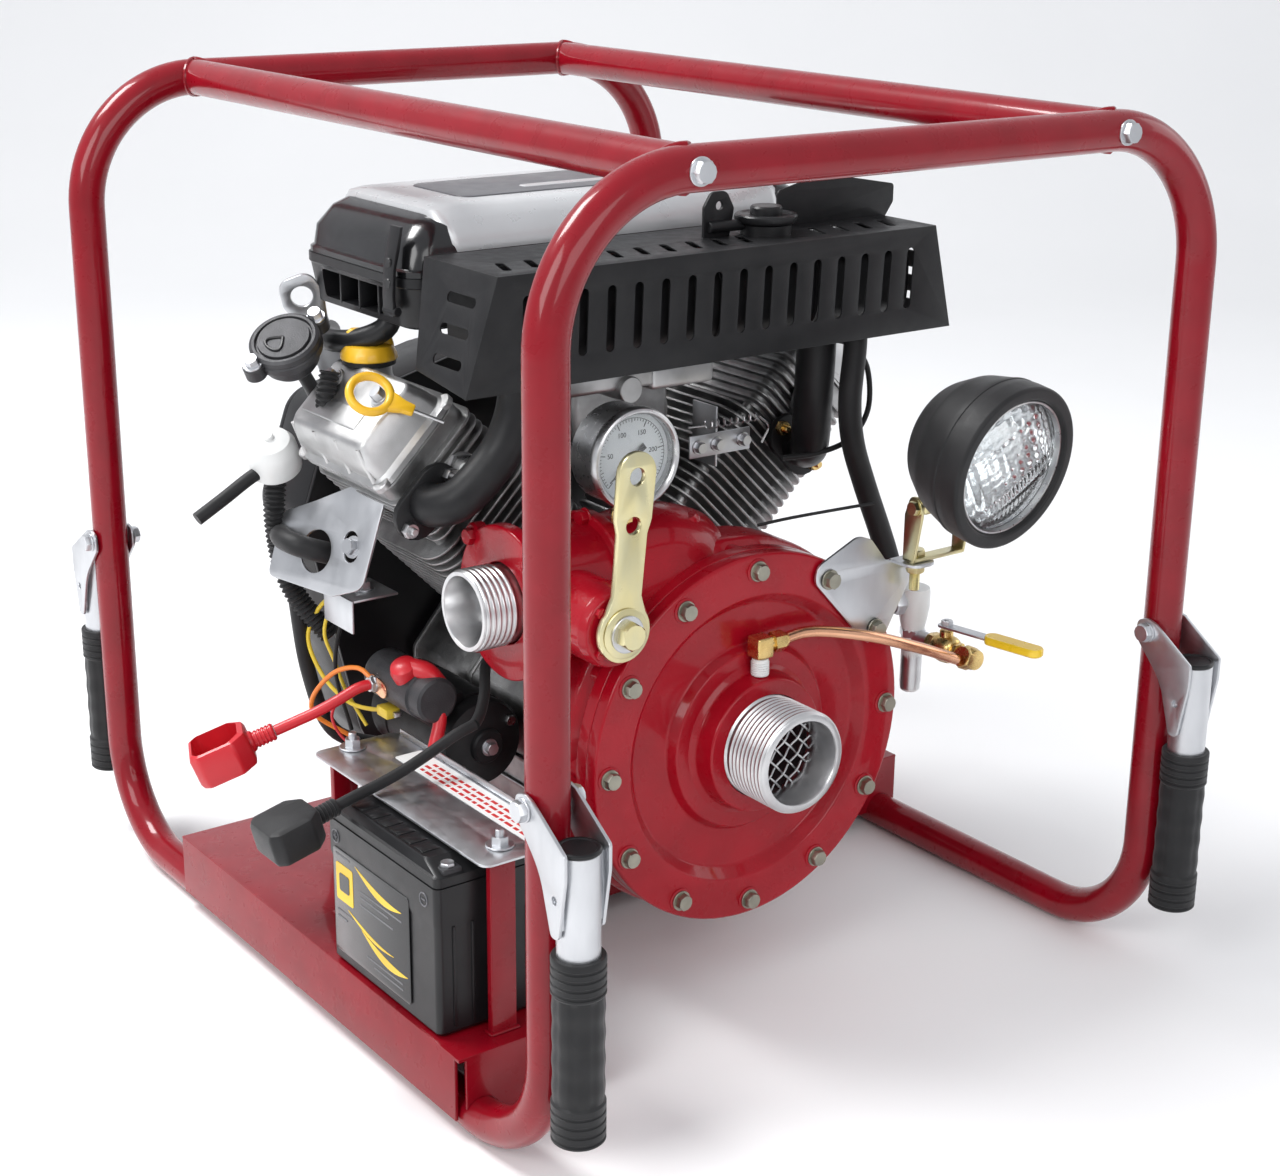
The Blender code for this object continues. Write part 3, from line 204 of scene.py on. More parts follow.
# ---------------------------------------------------------------- mesh helpers
def axes(origin, z_dir, x_dir=X):
    """Matrix whose Z runs along z_dir and whose X is as near x_dir as it can be."""
    z_dir = Vector(z_dir).normalized()
    x_dir = Vector(x_dir)
    if abs(z_dir.dot(x_dir.normalized())) > 0.99:
        x_dir = Y if abs(z_dir.dot(Y)) < 0.9 else Z
    x_dir = (x_dir - z_dir * x_dir.dot(z_dir)).normalized()
    rotation = Matrix((x_dir, z_dir.cross(x_dir), z_dir)).transposed()
    return Matrix.Translation(Vector(origin)) @ rotation.to_4x4()


def fillet(points, radii, steps=6, closed=False):
    """Path or outline with its corners turned into arcs."""
    points = [Vector(p).to_3d() for p in points]
    count = len(points)
    if not isinstance(radii, (list, tuple)):
        radii = [radii] * count
    elif not closed:
        radii = [0, *radii, 0]
    path = []
    for i, point in enumerate(points):
        if not closed and i in (0, count - 1) or radii[i] <= 0:
            path.append(point)
            continue
        before = points[i - 1] - point
        after = points[(i + 1) % count] - point
        limit = min(before.length, after.length) * 0.49
        before.normalize()
        after.normalize()
        half = before.angle(after) / 2
        if half > math.pi / 2 - 0.01:
            path.append(point)
            continue
        reach = min(radii[i] / math.tan(half), limit)
        radius = reach * math.tan(half)
        centre = point + (before + after).normalized() * radius / math.sin(half)
        first = point + before * reach - centre
        last = point + after * reach - centre
        sweep = first.angle(last)
        for k in range(steps + 1):
            t = k / steps
            early, late = math.sin((1 - t) * sweep), math.sin(t * sweep)
            path.append(centre + (first * early + last * late) / math.sin(sweep))
    return path


def rounded(points, radii, steps=6, closed=False):
    """Flat outline or profile with its corners turned into arcs, as pairs."""
    return [(p.x, p.y) for p in fillet(points, radii, steps, closed)]


def catmull(points, spacing=0.004):
    """Smooth curve through points, sampled about every spacing."""
    points = [Vector(p) for p in points]
    ends = [2 * points[0] - points[1]] + points + [2 * points[-1] - points[-2]]
    path = []
    for a, b, c, d in zip(ends, ends[1:], ends[2:], ends[3:]):
        count = max(2, round((c - b).length / spacing))
        for k in range(count):
            t = k / count
            square = 2 * a - 5 * b + 4 * c - d
            cube = 3 * b - a - 3 * c + d
            path.append(0.5 * (2 * b + (c - a) * t + square * t * t + cube * t ** 3))
    path.append(points[-1])
    return path


def circle(u, v, radius, count=24):
    """Closed ring of points round (u, v)."""
    return [(u + radius * math.cos(math.tau * k / count),
            v + radius * math.sin(math.tau * k / count)) for k in range(count)]


def slot_loop(u, v, length, width, angle=0.0, steps=8):
    """Round-ended slot centred at (u, v)."""
    loop = []
    for end in (1, -1):
        for k in range(steps + 1):
            turn = -math.pi / 2 + math.pi * k / steps + (0 if end > 0 else math.pi)
            a = end * (length - width) / 2 + width / 2 * math.cos(turn)
            b = width / 2 * math.sin(turn)
            loop.append((u + a * math.cos(angle) - b * math.sin(angle),
                    v + a * math.sin(angle) + b * math.cos(angle)))
    return loop


class Build:
    """Collects solids into one mesh; each solid may have its own material."""

    def __init__(self, mat):
        self.work = bmesh.new()
        self.mats = [mat]

    def _index(self, mat):
        mat = mat or self.mats[0]
        if mat not in self.mats:
            self.mats.append(mat)
        return self.mats.index(mat)

    def add(self, part, mat=None, matrix=None, bevel=0.0, segments=2, outward=True):
        """Take the faces of a bmesh, with its sharp edges bevelled."""
        if bevel:
            sharp = [e for e in part.edges if len(e.link_faces) == 2 and e.calc_face_angle(0) > 0.5]
            bmesh.ops.bevel(part, geom=sharp, offset=bevel, segments=segments, profile=0.5,
                    affect="EDGES", clamp_overlap=True)
        if outward:
            bmesh.ops.recalc_face_normals(part, faces=part.faces)
        index = self._index(mat)
        for face in part.faces:
            face.material_index = index
        if matrix is not None:
            part.transform(matrix)
        mesh = bpy.data.meshes.new("part")
        part.to_mesh(mesh)
        part.free()
        self.work.from_mesh(mesh)
        bpy.data.meshes.remove(mesh)
        return self

    def box(self, low, high, bevel=0.0008, segments=2, mat=None, matrix=None, taper=None):
        """Block between two corners; taper narrows its upper face."""
        low, high = Vector(low), Vector(high)
        part = bmesh.new()
        bmesh.ops.create_cube(part, size=1.0)
        for vert in part.verts:
            vert.co = Vector(c * s for c, s in zip(vert.co, high - low))
            if taper and vert.co.z > 0:
                vert.co.x *= taper[0]
                vert.co.y *= taper[1]
            vert.co += (low + high) / 2
        return self.add(part, mat, matrix, bevel, segments)

    def lathe(self, profile, origin=(0, 0, 0), axis=Z, steps=48, mat=None, x_dir=X, closed=False,
            wave=None):
        """Turn (radius, height) points about an axis; wave(angle, radius, height) moves the radius."""
        part = bmesh.new()
        rings = []
        for radius, height in profile:
            if radius < 1e-7:
                rings.append([part.verts.new((0, 0, height))])
                continue
            ring = []
            for k in range(steps):
                turn = math.tau * k / steps
                r = wave(turn, radius, height) if wave else radius
                ring.append(part.verts.new((r * math.cos(turn), r * math.sin(turn), height)))
            rings.append(ring)
        pairs = list(zip(rings, rings[1:]))
        if closed:
            pairs.append((rings[-1], rings[0]))
        for a, b in pairs:
            for k in range(steps):
                j = (k + 1) % steps
                if len(a) == 1 and len(b) == 1:
                    break
                if len(a) == 1:
                    part.faces.new((a[0], b[k], b[j]))
                elif len(b) == 1:
                    part.faces.new((a[k], b[0], a[j]))
                else:
                    part.faces.new((a[k], b[k], b[j], a[j]))
        return self.add(part, mat, axes(origin, axis, x_dir))

    def rod(self, start, end, radius, mat=None, steps=32, edge=0.0006):
        """Round bar between two points, with its ends chamfered."""
        start, end = Vector(start), Vector(end)
        length = (end - start).length
        edge = min(edge, radius * 0.4, length * 0.3)
        profile = [(0, 0), (radius - edge, 0), (radius, edge), (radius, length - edge),
                (radius - edge, length), (0, length)]
        return self.lathe(profile, start, end - start, steps, mat)

    def pipe(self, path, radius, steps=20, mat=None, caps=True, side=None):
        """Tube along a path; radius may be a function of the length along it."""
        path = [Vector(p) for p in path]
        part = bmesh.new()
        rings = []
        run = 0.0
        normal = None
        for i, point in enumerate(path):
            ahead = path[min(i + 1, len(path) - 1)] - path[max(i - 1, 0)]
            ahead.normalize()
            if normal is None:
                guess = Vector(side) if side else (Z if abs(ahead.z) < 0.9 else X)
                normal = (guess - ahead * guess.dot(ahead)).normalized()
            else:
                run += (point - path[i - 1]).length
                normal = (normal - ahead * normal.dot(ahead)).normalized()
            other = ahead.cross(normal)
            r = radius(run) if callable(radius) else radius
            ring = []
            for k in range(steps):
                turn = math.tau * k / steps
                ring.append(part.verts.new(point + (normal * math.cos(turn) + other * math.sin(turn)) * r))
            rings.append(ring)
        for a, b in zip(rings, rings[1:]):
            for k in range(steps):
                j = (k + 1) % steps
                part.faces.new((a[k], a[j], b[j], b[k]))
        if caps:
            part.faces.new(rings[0][::-1])
            part.faces.new(rings[-1])
        return self.add(part, mat)

    def plate(self, outline, thickness, origin, u, v, holes=(), bevel=0.0004, mat=None):
        """Flat plate centred on its plane, with rounded edges."""
        curve = bpy.data.curves.new("plate", "CURVE")
        curve.dimensions = "2D"
        curve.fill_mode = "BOTH"
        curve.extrude = thickness / 2 - bevel
        curve.bevel_depth = bevel
        curve.bevel_resolution = 1
        curve.offset = -bevel
        for loop in (outline, *holes):
            spline = curve.splines.new("POLY")
            spline.points.add(len(loop) - 1)
            spline.use_cyclic_u = True
            for point, at in zip(spline.points, loop):
                point.co = (at[0], at[1], 0.0, 1.0)
        holder = bpy.data.objects.new("plate", curve)
        mesh = bpy.data.meshes.new_from_object(holder)
        part = bmesh.new()
        part.from_mesh(mesh)
        bmesh.ops.remove_doubles(part, verts=part.verts, dist=1e-6)
        bpy.data.meshes.remove(mesh)
        bpy.data.objects.remove(holder)
        bpy.data.curves.remove(curve)
        return self.add(part, mat, axes(origin, Vector(u).cross(Vector(v)), u))

    def hexagon(self, base, aim, flats, height, mat=None, washer=0.0, stud=0.0, twist=0.0):
        """Hexagon head standing on base, with a chamfered top, a washer and a stud end."""
        aim = Vector(aim).normalized()
        base = Vector(base)
        mat = mat or "zinc_plate"
        if washer:
            self.lathe([(0, 0), (washer - 0.0003, 0), (washer, 0.0003), (washer, 0.0012),
                    (washer - 0.0003, 0.0015), (0, 0.0015)], base, aim, 28, mat)
            base = base + aim * 0.0015
        outer = flats / math.sqrt(3)
        part = bmesh.new()
        levels = [(outer, 0.0), (outer, height * 0.78), (flats / 2, height)]
        rings = []
        for radius, level in levels:
            ring = []
            for k in range(12):
                turn = twist + math.tau * k / 12
                pull = 1.0 if k % 2 == 0 or level == height else math.cos(math.pi / 6)
                ring.append(part.verts.new((radius * math.cos(turn) * pull,
                        radius * math.sin(turn) * pull, level)))
            rings.append(ring)
        for k in range(12):
            if k % 2:
                rings[1][k].co.z = height * 0.90
        for a, b in zip(rings, rings[1:]):
            for k in range(12):
                j = (k + 1) % 12
                part.faces.new((a[k], a[j], b[j], b[k]))
        part.faces.new(rings[0][::-1])
        part.faces.new(rings[-1])
        self.add(part, mat, axes(base, aim))
        if stud:
            self.rod(base, base + aim * (height + stud), flats * 0.28, mat, 16)
        return self

    def done(self, name, body="frame", replaces=(), slot=None, angle=32.0):
        """Make the object, name what it replaces and the body it rides on."""
        mesh = bpy.data.meshes.new(name)
        self.work.to_mesh(mesh)
        self.work.free()
        for mat in self.mats:
            mesh.materials.append(MATS[mat])
        mesh.shade_smooth()
        mesh.set_sharp_from_angle(angle=math.radians(angle))
        obj = bpy.data.objects.new(name, mesh)
        bpy.context.scene.collection.objects.link(obj)
        if replaces:
            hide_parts(*replaces)
        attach(obj, body)
        return obj


def carve(build, cutters, name):
    """Subtract closed cutters, given as one Build, from a Build; returns a new Build."""
    objs = []
    for label, source in (("body", build), ("cutter", cutters)):
        mesh = bpy.data.meshes.new(f"{name}_{label}")
        source.work.to_mesh(mesh)
        source.work.free()
        for m in source.mats:
            mesh.materials.append(MATS[m])
        obj = bpy.data.objects.new(f"{name}_{label}", mesh)
        bpy.context.scene.collection.objects.link(obj)
        objs.append(obj)
    body, tool = objs
    step = body.modifiers.new("carve", "BOOLEAN")
    step.operation = "DIFFERENCE"
    step.solver = "EXACT"
    step.use_self = True
    step.object = tool
    graph = bpy.context.evaluated_depsgraph_get()
    mesh = bpy.data.meshes.new_from_object(body.evaluated_get(graph))
    result = Build(build.mats[0])
    result.mats = [m.name.removeprefix("finish_") for m in mesh.materials if m] or [build.mats[0]]
    result.work.from_mesh(mesh)
    for obj in objs:
        bpy.data.objects.remove(obj, do_unlink=True)
    return result


def dress(node, mat):
    """Give a CAD node that stays in view its finish."""
    obj = NODES[node]
    for place in obj.material_slots:
        place.material = MATS[mat]


def rect(u0, v0, u1, v1, radius, steps=6):
    """Rounded rectangle outline."""
    return rounded([(u0, v0), (u1, v0), (u1, v1), (u0, v1)], radius, steps, closed=True)


def loft(build, loops, mat=None, matrix=None):
    """Skin through closed loops of equal length, given as 3D points."""
    part = bmesh.new()
    rings = [[part.verts.new(Vector(p)) for p in loop] for loop in loops]
    for a, b in zip(rings, rings[1:]):
        count = len(a)
        for k in range(count):
            j = (k + 1) % count
            part.faces.new((a[k], a[j], b[j], b[k]))
    part.faces.new(rings[0][::-1])
    part.faces.new(rings[-1])
    return build.add(part, mat, matrix)


def tiers(build, levels, mat=None, matrix=None, radius=0.01, steps=6):
    """Rounded rectangles stacked along Z; each level is (z, u0, v0, u1, v1) or has its own radius."""
    loops = []
    for level in levels:
        z, u0, v0, u1, v1 = level[:5]
        r = level[5] if len(level) > 5 else radius
        loops.append([(u, v, z) for u, v in rect(u0, v0, u1, v1, r, steps)])
    return loft(build, loops, mat, matrix)


def wire(build, points, radius, mat, steps=10):
    """Round strand along a smooth curve."""
    return build.pipe(catmull(points, 0.004), radius, steps, mat)


def boot(name, start, aim, mat, width, face, grow):
    """Soft terminal cover: a ribbed neck and a flared cup, open upward (1) or downward (-1)."""
    start, aim = Vector(start), Vector(aim).normalized()
    up = (Z - aim * Z.dot(aim)).normalized()
    matrix = Matrix.Translation(start) @ Matrix((aim, up.cross(aim), up)).transposed().to_4x4()
    cup = Build(mat)
    outline = rounded([(0.0165, -0.011), (0.026, -width), (0.050, -width), (0.0555, -width * 0.72),
            (0.0555, width * 0.72), (0.050, width), (0.026, width), (0.0165, 0.011)], 0.005, 5,
            closed=True)
    cup.plate([(u * grow, v * grow) for u, v in outline], 0.025 * grow, matrix @ Vector((0, 0, 0)), aim,
            up.cross(aim), bevel=0.0045)
    hollow = Build(mat)
    inner = rounded([(0.021, -0.009), (0.028, -width + 0.003), (0.049, -width + 0.003),
            (0.0525, -width * 0.6), (0.0525, width * 0.6), (0.049, width - 0.003),
            (0.028, width - 0.003), (0.021, 0.009)], 0.004, 4, closed=True)
    hollow.plate([(u * grow, v * grow) for u, v in inner], 0.030 * grow,
            matrix @ Vector((0, 0, 0.0065 * face * grow)), aim, up.cross(aim), bevel=0.001)
    cup = carve(cup, hollow, name)
    profile = [(0, 0), (0.0058, 0), (0.0064, 0.0008)]
    for k in range(5):
        low = 0.0010 + 0.0030 * k
        profile += [(0.0068, low + 0.0004), (0.0068, low + 0.0016), (0.0060, low + 0.0022),
                (0.0060, low + 0.0028)]
    profile += [(0.0078, 0.0170), (0.0088, 0.0200), (0, 0.0200)]
    cup.lathe(profile, start, aim, 28)
    return cup


RED_ROUTE = [(-0.2165, 0.0000, 0.2360), (-0.2290, 0.0020, 0.2345), (-0.2440, 0.0060, 0.2270),
        (-0.2590, 0.0120, 0.2190), (-0.2740, 0.0190, 0.2120), (-0.2880, 0.0250, 0.2060)]
BLACK_ROUTE = [(-0.1900, -0.1000, 0.2300), (-0.2050, -0.1000, 0.2260), (-0.2200, -0.1000, 0.2200),
        (-0.2350, -0.1000, 0.2140), (-0.2520, -0.1000, 0.2080), (-0.2700, -0.1000, 0.2030),
        (-0.2880, -0.1000, 0.1990), (-0.3040, -0.1000, 0.1950)]


def leads():
    """Both battery leads with the boots on their ends."""
    width = 0.0195
    for name, route, face, grow in (("red", RED_ROUTE, 1, 1.16), ("black", BLACK_ROUTE, -1, 1.08)):
        mat = f"{name}_rubber"
        path = catmull(route, 0.003)
        lead = Build(mat)
        lead.pipe(path, 0.0042, 24)
        lead = lead.done(f"{name}_battery_lead", "frame", [f"{name}_lead"], mat)
        aim = (path[-1] - path[-2]).normalized()
        cover = boot(f"{name}_cover", path[-1] + aim * 0.0006, aim, mat, width, face, grow)
        cover = cover.done(f"{name}_terminal_boot", "frame", [f"{name}_boot"], mat)


leads()


# ---------------------------------------------------------------- carry frame
def hoop_path(side):
    """Centre line of one hoop of the frame, front (-1) or rear (1)."""
    y = side * POST_Y
    corners = [(-POST_X, 0, TUBE_R), (-POST_X, y, TUBE_R), (-POST_X, y, TOP_Z), (POST_X, y, TOP_Z),
            (POST_X, y, TUBE_R), (POST_X, 0, TUBE_R)]
    return fillet(corners, [0.085, 0.100, 0.100, 0.085], 24)


def carry_frame():
    """Two bent hoops with their bolts, and the two rails between their tops."""
    for name, side in (("front_frame_tube", -1), ("rear_frame_tube", 1)):
        hoop = Build("frame_red")
        hoop.pipe(hoop_path(side), TUBE_R, 40, caps=True)
        if side < 0:
            bead = [(TUBE_R - 0.0006, -0.0022), (TUBE_R + 0.0007, -0.0010), (TUBE_R + 0.0007, 0.0010),
                    (TUBE_R - 0.0006, 0.0022)]
            for x in (-POST_X, POST_X):
                hoop.lathe(bead, (x, 0, TUBE_R), Y, 40)
        for x in (-RAIL_X, RAIL_X):
            hoop.hexagon((x, side * (POST_Y + TUBE_R - 0.0006), TOP_Z), Y * side, 0.0130, 0.0055,
                    "zinc_plate", washer=0.0088)
        hoop.done(f"{name}_bent", "frame", [name], "frame_red")
    for name, side in (("top_rail_left", -1), ("top_rail_right", 1)):
        rail = Build("frame_red")
        x = side * RAIL_X
        rail.rod((x, -POST_Y, TOP_Z), (x, POST_Y, TOP_Z), TUBE_R, steps=40)
        for end in (-1, 1):
            ring = []
            for k in range(41):
                turn = math.tau * k / 40
                across, rise = TUBE_R * math.cos(turn), TUBE_R * math.sin(turn)
                depth = math.sqrt(max(0.0, (TUBE_R * 1.002) ** 2 - rise ** 2))
                ring.append(Vector((x + across, end * (POST_Y - depth), TOP_Z + rise)))
            rail.pipe(ring, 0.0019, 8, caps=False)
        rail.done(f"{name}_welded", "frame", [name], "frame_red")


def tray():
    """Pan with flanges folded down outside the rails, a battery step and two flat bars."""
    top, lip, thick = 0.063, 0.013, 0.003
    left, right, rear, step, step_x, near = -0.300, 0.300, 0.181, -0.030, -0.190, -0.2505
    pan = Build("frame_red")
    floor = [(left, near), (step_x, near), (step_x, step), (right, step), (right, rear), (left, rear)]
    pan.plate(floor, thick, (0, 0, top - thick / 2), X, Y, bevel=0.0012)
    ring = floor + [floor[0]]
    for (x0, y0), (x1, y1) in zip(ring, ring[1:]):
        a, b = Vector((x0, y0, 0)), Vector((x1, y1, 0))
        along = (b - a).normalized()
        inward = Vector((-along.y, along.x, 0))
        first, last = 0.0, (b - a).length
        if (x0, y0) == (left, near):
            first = 0.006
        if (x1, y1) == (left, near):
            last -= 0.006
        base = a + inward * thick / 2
        outline = [(first, lip), (last, lip), (last, top - 0.0004), (first, top - 0.0004)]
        holes = []
        if abs(along.x) > 0.9 and y0 == near:
            holes = [circle(0.094, 0.030, 0.0055, 28)]
        pan.plate(outline, thick, base, along, Z, holes=holes, bevel=0.0008)
    for y in (-0.2335, -0.0170):
        pan.box((-0.264, y - 0.003, top - 0.002), (-0.244, y + 0.003, 0.1935), 0.0008)
        pan.box((-0.266, y - 0.0050, top - 0.0002), (-0.242, y + 0.0050, top + 0.0022), 0.0018)
    cut = Build("frame_red")
    for side in (-1, 1):
        cut.pipe(hoop_path(side), TUBE_R + 0.0003, 40)
    pan = carve(pan, cut, "tray")
    # Weld beads where the flanges meet the lower tubes.
    weld_x, weld_z = POST_X + 0.0106, TUBE_R + 0.0118
    for side, start in ((-1, -0.235), (1, -0.026)):
        for y0, y1 in ((start, -0.002), (0.002, 0.170)):
            pan.pipe([(side * weld_x, y0, weld_z), (side * weld_x, y1, weld_z)], 0.0020, 10)
    pan.done("tray_pan", "frame", ["base_tray"], "frame_red")


# ---------------------------------------------------------------- fold-down handles
def handles():
    """Four fold-down handles, each a bracketed arm with a ribbed grip."""
    low, top = 0.0612, 0.2610
    for y_name, sy in (("front", -1), ("rear", 1)):
        for x_name, sx in (("left", -1), ("right", 1)):
            name = f"{y_name}_{x_name}"
            body = f"handle_{name}_body"
            out, x, post = sy * (POST_Y + 0.0335), sx * POST_X, sy * POST_Y
            arm = Build("zinc_plate")
            seat = top - 0.0030
            arm.rod((x, out, low), (x, out, seat), 0.0140, steps=40)
            arm.lathe([(0, 0), (0.0142, 0), (0.0146, 0.0006), (0.0146, 0.0020), (0.0135, 0.0030),
                    (0.0120, 0.0029), (0.0112, 0.0023), (0, 0.0024)], (x, out, seat), Z, 40,
                    "black_plastic")
            outline = rounded([(-0.0100, -0.0060), (-0.0095, 0.0075), (0.0, 0.0108), (0.0080, 0.0085),
                    (0.0440, -0.0150), (0.0440, -0.0320), (0.0370, -0.0740), (0.0290, -0.0740),
                    (0.0170, -0.0350)], [0.006, 0.006, 0.008, 0.006, 0.004, 0.03, 0.004, 0.004, 0.05], 6,
                    closed=True)
            for side in (-1, 1):
                face = side * (TUBE_R + 0.0022)
                arm.plate(outline, 0.0026, (x + face, post, PIVOT_Z), Y * sy, Z,
                        holes=[circle(0.0330, -0.0480, 0.0028, 16)], bevel=0.0005)
                arm.box((x + side * 0.0140 - 0.0018, out - 0.004, 0.209),
                        (x + side * 0.0140 + 0.0018, out + 0.004, 0.256), 0.0008)
            arm.hexagon((x + TUBE_R + 0.0035, post, PIVOT_Z), X, 0.0125, 0.0052, "zinc_plate",
                    washer=0.0080, stud=0.0008)
            arm.hexagon((x - TUBE_R - 0.0035, post, PIVOT_Z), -X, 0.0125, 0.0050, "zinc_plate",
                    washer=0.0080)
            arm.done(f"handle_{name}_arm", body, [f"handle_{name}"], "zinc_plate")
            grip = Build("black_rubber")
            low_end, high_end = 0.0580, 0.1880
            ridge, groove, waist = 0.0178, 0.0170, 0.0166
            profile = [(0.0141, high_end), (0.0172, high_end), (ridge, high_end - 0.0010)]
            z = high_end - 0.0010
            for k in range(4):
                profile += [(ridge, z - 0.0034), (groove, z - 0.0040), (groove, z - 0.0052),
                        (ridge, z - 0.0058)]
                z -= 0.0058
            profile += [(ridge, z - 0.0010), (waist, z - 0.0026)]
            z -= 0.0026
            swells = 4
            length = z - (low_end + 0.0290)
            for k in range(1, 8 * swells):
                t = k / (8 * swells)
                profile.append((waist + 0.0006 * (1 - math.cos(math.tau * t * swells)) / 2,
                        z - length * t))
            z = low_end + 0.0290
            profile += [(waist, z), (ridge, z - 0.0016)]
            z -= 0.0016
            for k in range(4):
                profile += [(ridge, z - 0.0040), (groove, z - 0.0046), (groove, z - 0.0058),
                        (ridge, z - 0.0064)]
                z -= 0.0064
            profile += [(ridge, low_end + 0.0008), (groove, low_end), (0, low_end)]

            def flute(turn, radius, height):
                """Shallow lengthwise grooves round the middle of the grip."""
                if low_end + 0.030 < height < high_end - 0.028:
                    return radius - 0.0005 * max(0.0, math.cos(8 * turn))
                return radius

            grip.lathe(profile, (x, out, 0), Z, 64, wave=flute)
            grip.done(f"grip_{name}_sleeve", body, [f"grip_{name}"], "black_rubber")


carry_frame()
tray()
handles()


# ---------------------------------------------------------------- pump
def on_bolt_circle(degrees):
    """Point of the cover's bolt circle, as (x, z)."""
    turn = math.radians(degrees)
    return BOLT_R * math.cos(turn), SHAFT_Z + BOLT_R * math.sin(turn)


COVER_BOLTS = [on_bolt_circle(30 * k) for k in range(12)]


def pump_case():
    """Pump case, front cover with its bolts, suction thread and screen."""
    joint = -COVER_Y - 0.012
    case = Build("pump_red")
    profile = rounded([(0, joint), (0.145, joint), (0.145, joint - 0.0120), (0.1385, joint - 0.0150),
            (0.1480, joint - 0.0240), (0.1482, joint - 0.0560), (0.1400, joint - 0.0780),
            (0.1200, 0.0860), (0.0910, 0.0850), (0.0910, 0.0685), (0, 0.0685)],
            [0.0012, 0.0020, 0.0020, 0.010, 0.016, 0.020, 0.016, 0.006, 0.002], 6)
    case.lathe(profile, (0, 0, SHAFT_Z), -Y, 96)
    # Neck that leaves the volute towards the discharge valve.
    neck = [(radius, 0.0900 * t) for t, radius in ((0.0, 0.040), (0.14, 0.0455), (0.30, 0.0500),
            (0.5, 0.0522), (0.7, 0.0520), (0.86, 0.0500), (1.0, 0.0500))]
    case.lathe([(0, -0.012), (0.020, -0.011), (0.034, -0.006)] + neck + [(0, 0.0900)],
            (0, OUTLET_Y, OUTLET_Z), -X, 56)
    for x, y, z in ((-0.066, -0.1180, 0.3700), (-0.022, -0.1290, 0.3600)):
        case.lathe([(0, 0.0), (0.013, 0.0), (0.0125, 0.012), (0.0105, 0.015), (0, 0.0155)],
                (x, y, z - 0.006), Vector((-0.2, 0, 1)), 32)
    for k in range(12):
        turn = math.radians(30 * k)
        u, v = math.cos(turn), math.sin(turn)
        base = Vector((0.1345 * u, -joint + 0.0010, SHAFT_Z + 0.1345 * v))
        case.rod(base, base + Y * 0.0200, 0.0100, steps=24)
    # Foot under the case, down to the tray.
    case.box((-0.060, -0.110, 0.0640), (0.060, -0.070, 0.110), 0.004)
    case.done("pump_case", "frame", ["pump_volute"], "pump_red")

    cover = Build("pump_red")
    hub = -COVER_Y
    profile = rounded([(0.0402, hub + 0.0160), (0.0520, hub + 0.0160), (0.0545, hub + 0.0010),
            (0.0590, hub - 0.0020), (0.0700, hub - 0.0020), (0.0745, hub - 0.0100),
            (0.1050, hub - 0.0100), (0.1130, hub), (0.1450, hub), (0.1450, hub - 0.0117),
            (0.1205, hub - 0.0117), (0.1205, hub - 0.0200), (0.0402, hub - 0.0200)],
            [0.0022, 0.003, 0.002, 0.002, 0.003, 0.004, 0.003, 0.0025, 0.0008, 0.0005, 0.001], 5)
    cover.lathe(profile, (0, 0, SHAFT_Z), -Y, 112, closed=True)
    for u, v in COVER_BOLTS:
        cover.lathe([(0.0096, -0.0002), (0.0096, 0.0006), (0.0088, 0.0010), (0, 0.0010)],
                (u, COVER_Y, v), -Y, 24)
    for k, (u, v) in enumerate(COVER_BOLTS):
        lift = 0.0040 if k in (1, 2) else 0.0
        cover.hexagon((u, COVER_Y - 0.0009 - lift, v), -Y, 0.0115, 0.0052, "aged_zinc", washer=0.0078,
                twist=0.3 * k)
    cover.done("pump_front_cover", "frame", ["pump_cover"], "pump_red")

    ring = Build("machined_aluminium")
    end = 0.246
    profile = [(0.0320, end - 0.0400), (0.0320, end - 0.0012), (0.0328, end), (0.0372, end),
            (0.0384, end - 0.0012)]
    pitch = 0.0042
    for k in range(9):
        top = end - 0.0032 - pitch * k
        profile += [(0.0378, top + pitch * 0.30), (0.0385, top + pitch * 0.18), (0.0395, top),
                (0.0395, top - pitch * 0.22), (0.0385, top - pitch * 0.42),
                (0.0378, top - pitch * 0.52)]
    profile += [(0.0378, 0.2045), (0.0397, 0.2030), (0.0397, 0.1690), (0.0320, 0.1690)]
    ring.lathe(profile, (0, 0, SHAFT_Z), -Y, 96, closed=True)
    ring.done("suction_thread", "frame", ["suction_adapter"], "machined_aluminium", angle=50)

    mesh = Build("steel")
    pitch, depth = 0.0092, -0.2160
    for k in range(-3, 4):
        off = k * pitch
        half = math.sqrt(max(0.0, 0.0318 ** 2 - off ** 2))
        if half < 0.006:
            continue
        count = 40
        for turn, sign in ((math.radians(45), 1), (math.radians(-45), -1)):
            path = []
            for i in range(count + 1):
                s = -half + 2 * half * i / count
                u = s * math.cos(turn) - off * math.sin(turn)
                v = s * math.sin(turn) + off * math.cos(turn)
                wave = sign * 0.0009 * math.cos(math.pi * s / pitch + math.pi * k)
                path.append((u, depth + wave, SHAFT_Z + v))
            mesh.pipe(path, 0.0009, 10)
    mesh.done("suction_screen", "frame", ["suction_strainer"], "steel")
    # Dark lining inside the suction passage: painted shade standing in for the shadow deep in the bore.
    shade_lining = Build("grey_casting")
    shade_lining.lathe([(0.0319, 0.2130), (0.0319, 0.1720), (0.0300, 0.1690), (0.0125, 0.1600)], (0, 0, SHAFT_Z),
            -Y, 48)
    shade_lining.done("suction_passage_shade", "frame", [], "pump_red")
    for node, mat in (("impeller", "cast_aluminium"), ("crankshaft", "steel"),
            ("flywheel_fan", "cast_aluminium"), ("discharge_ball", "steel")):
        dress(node, mat)


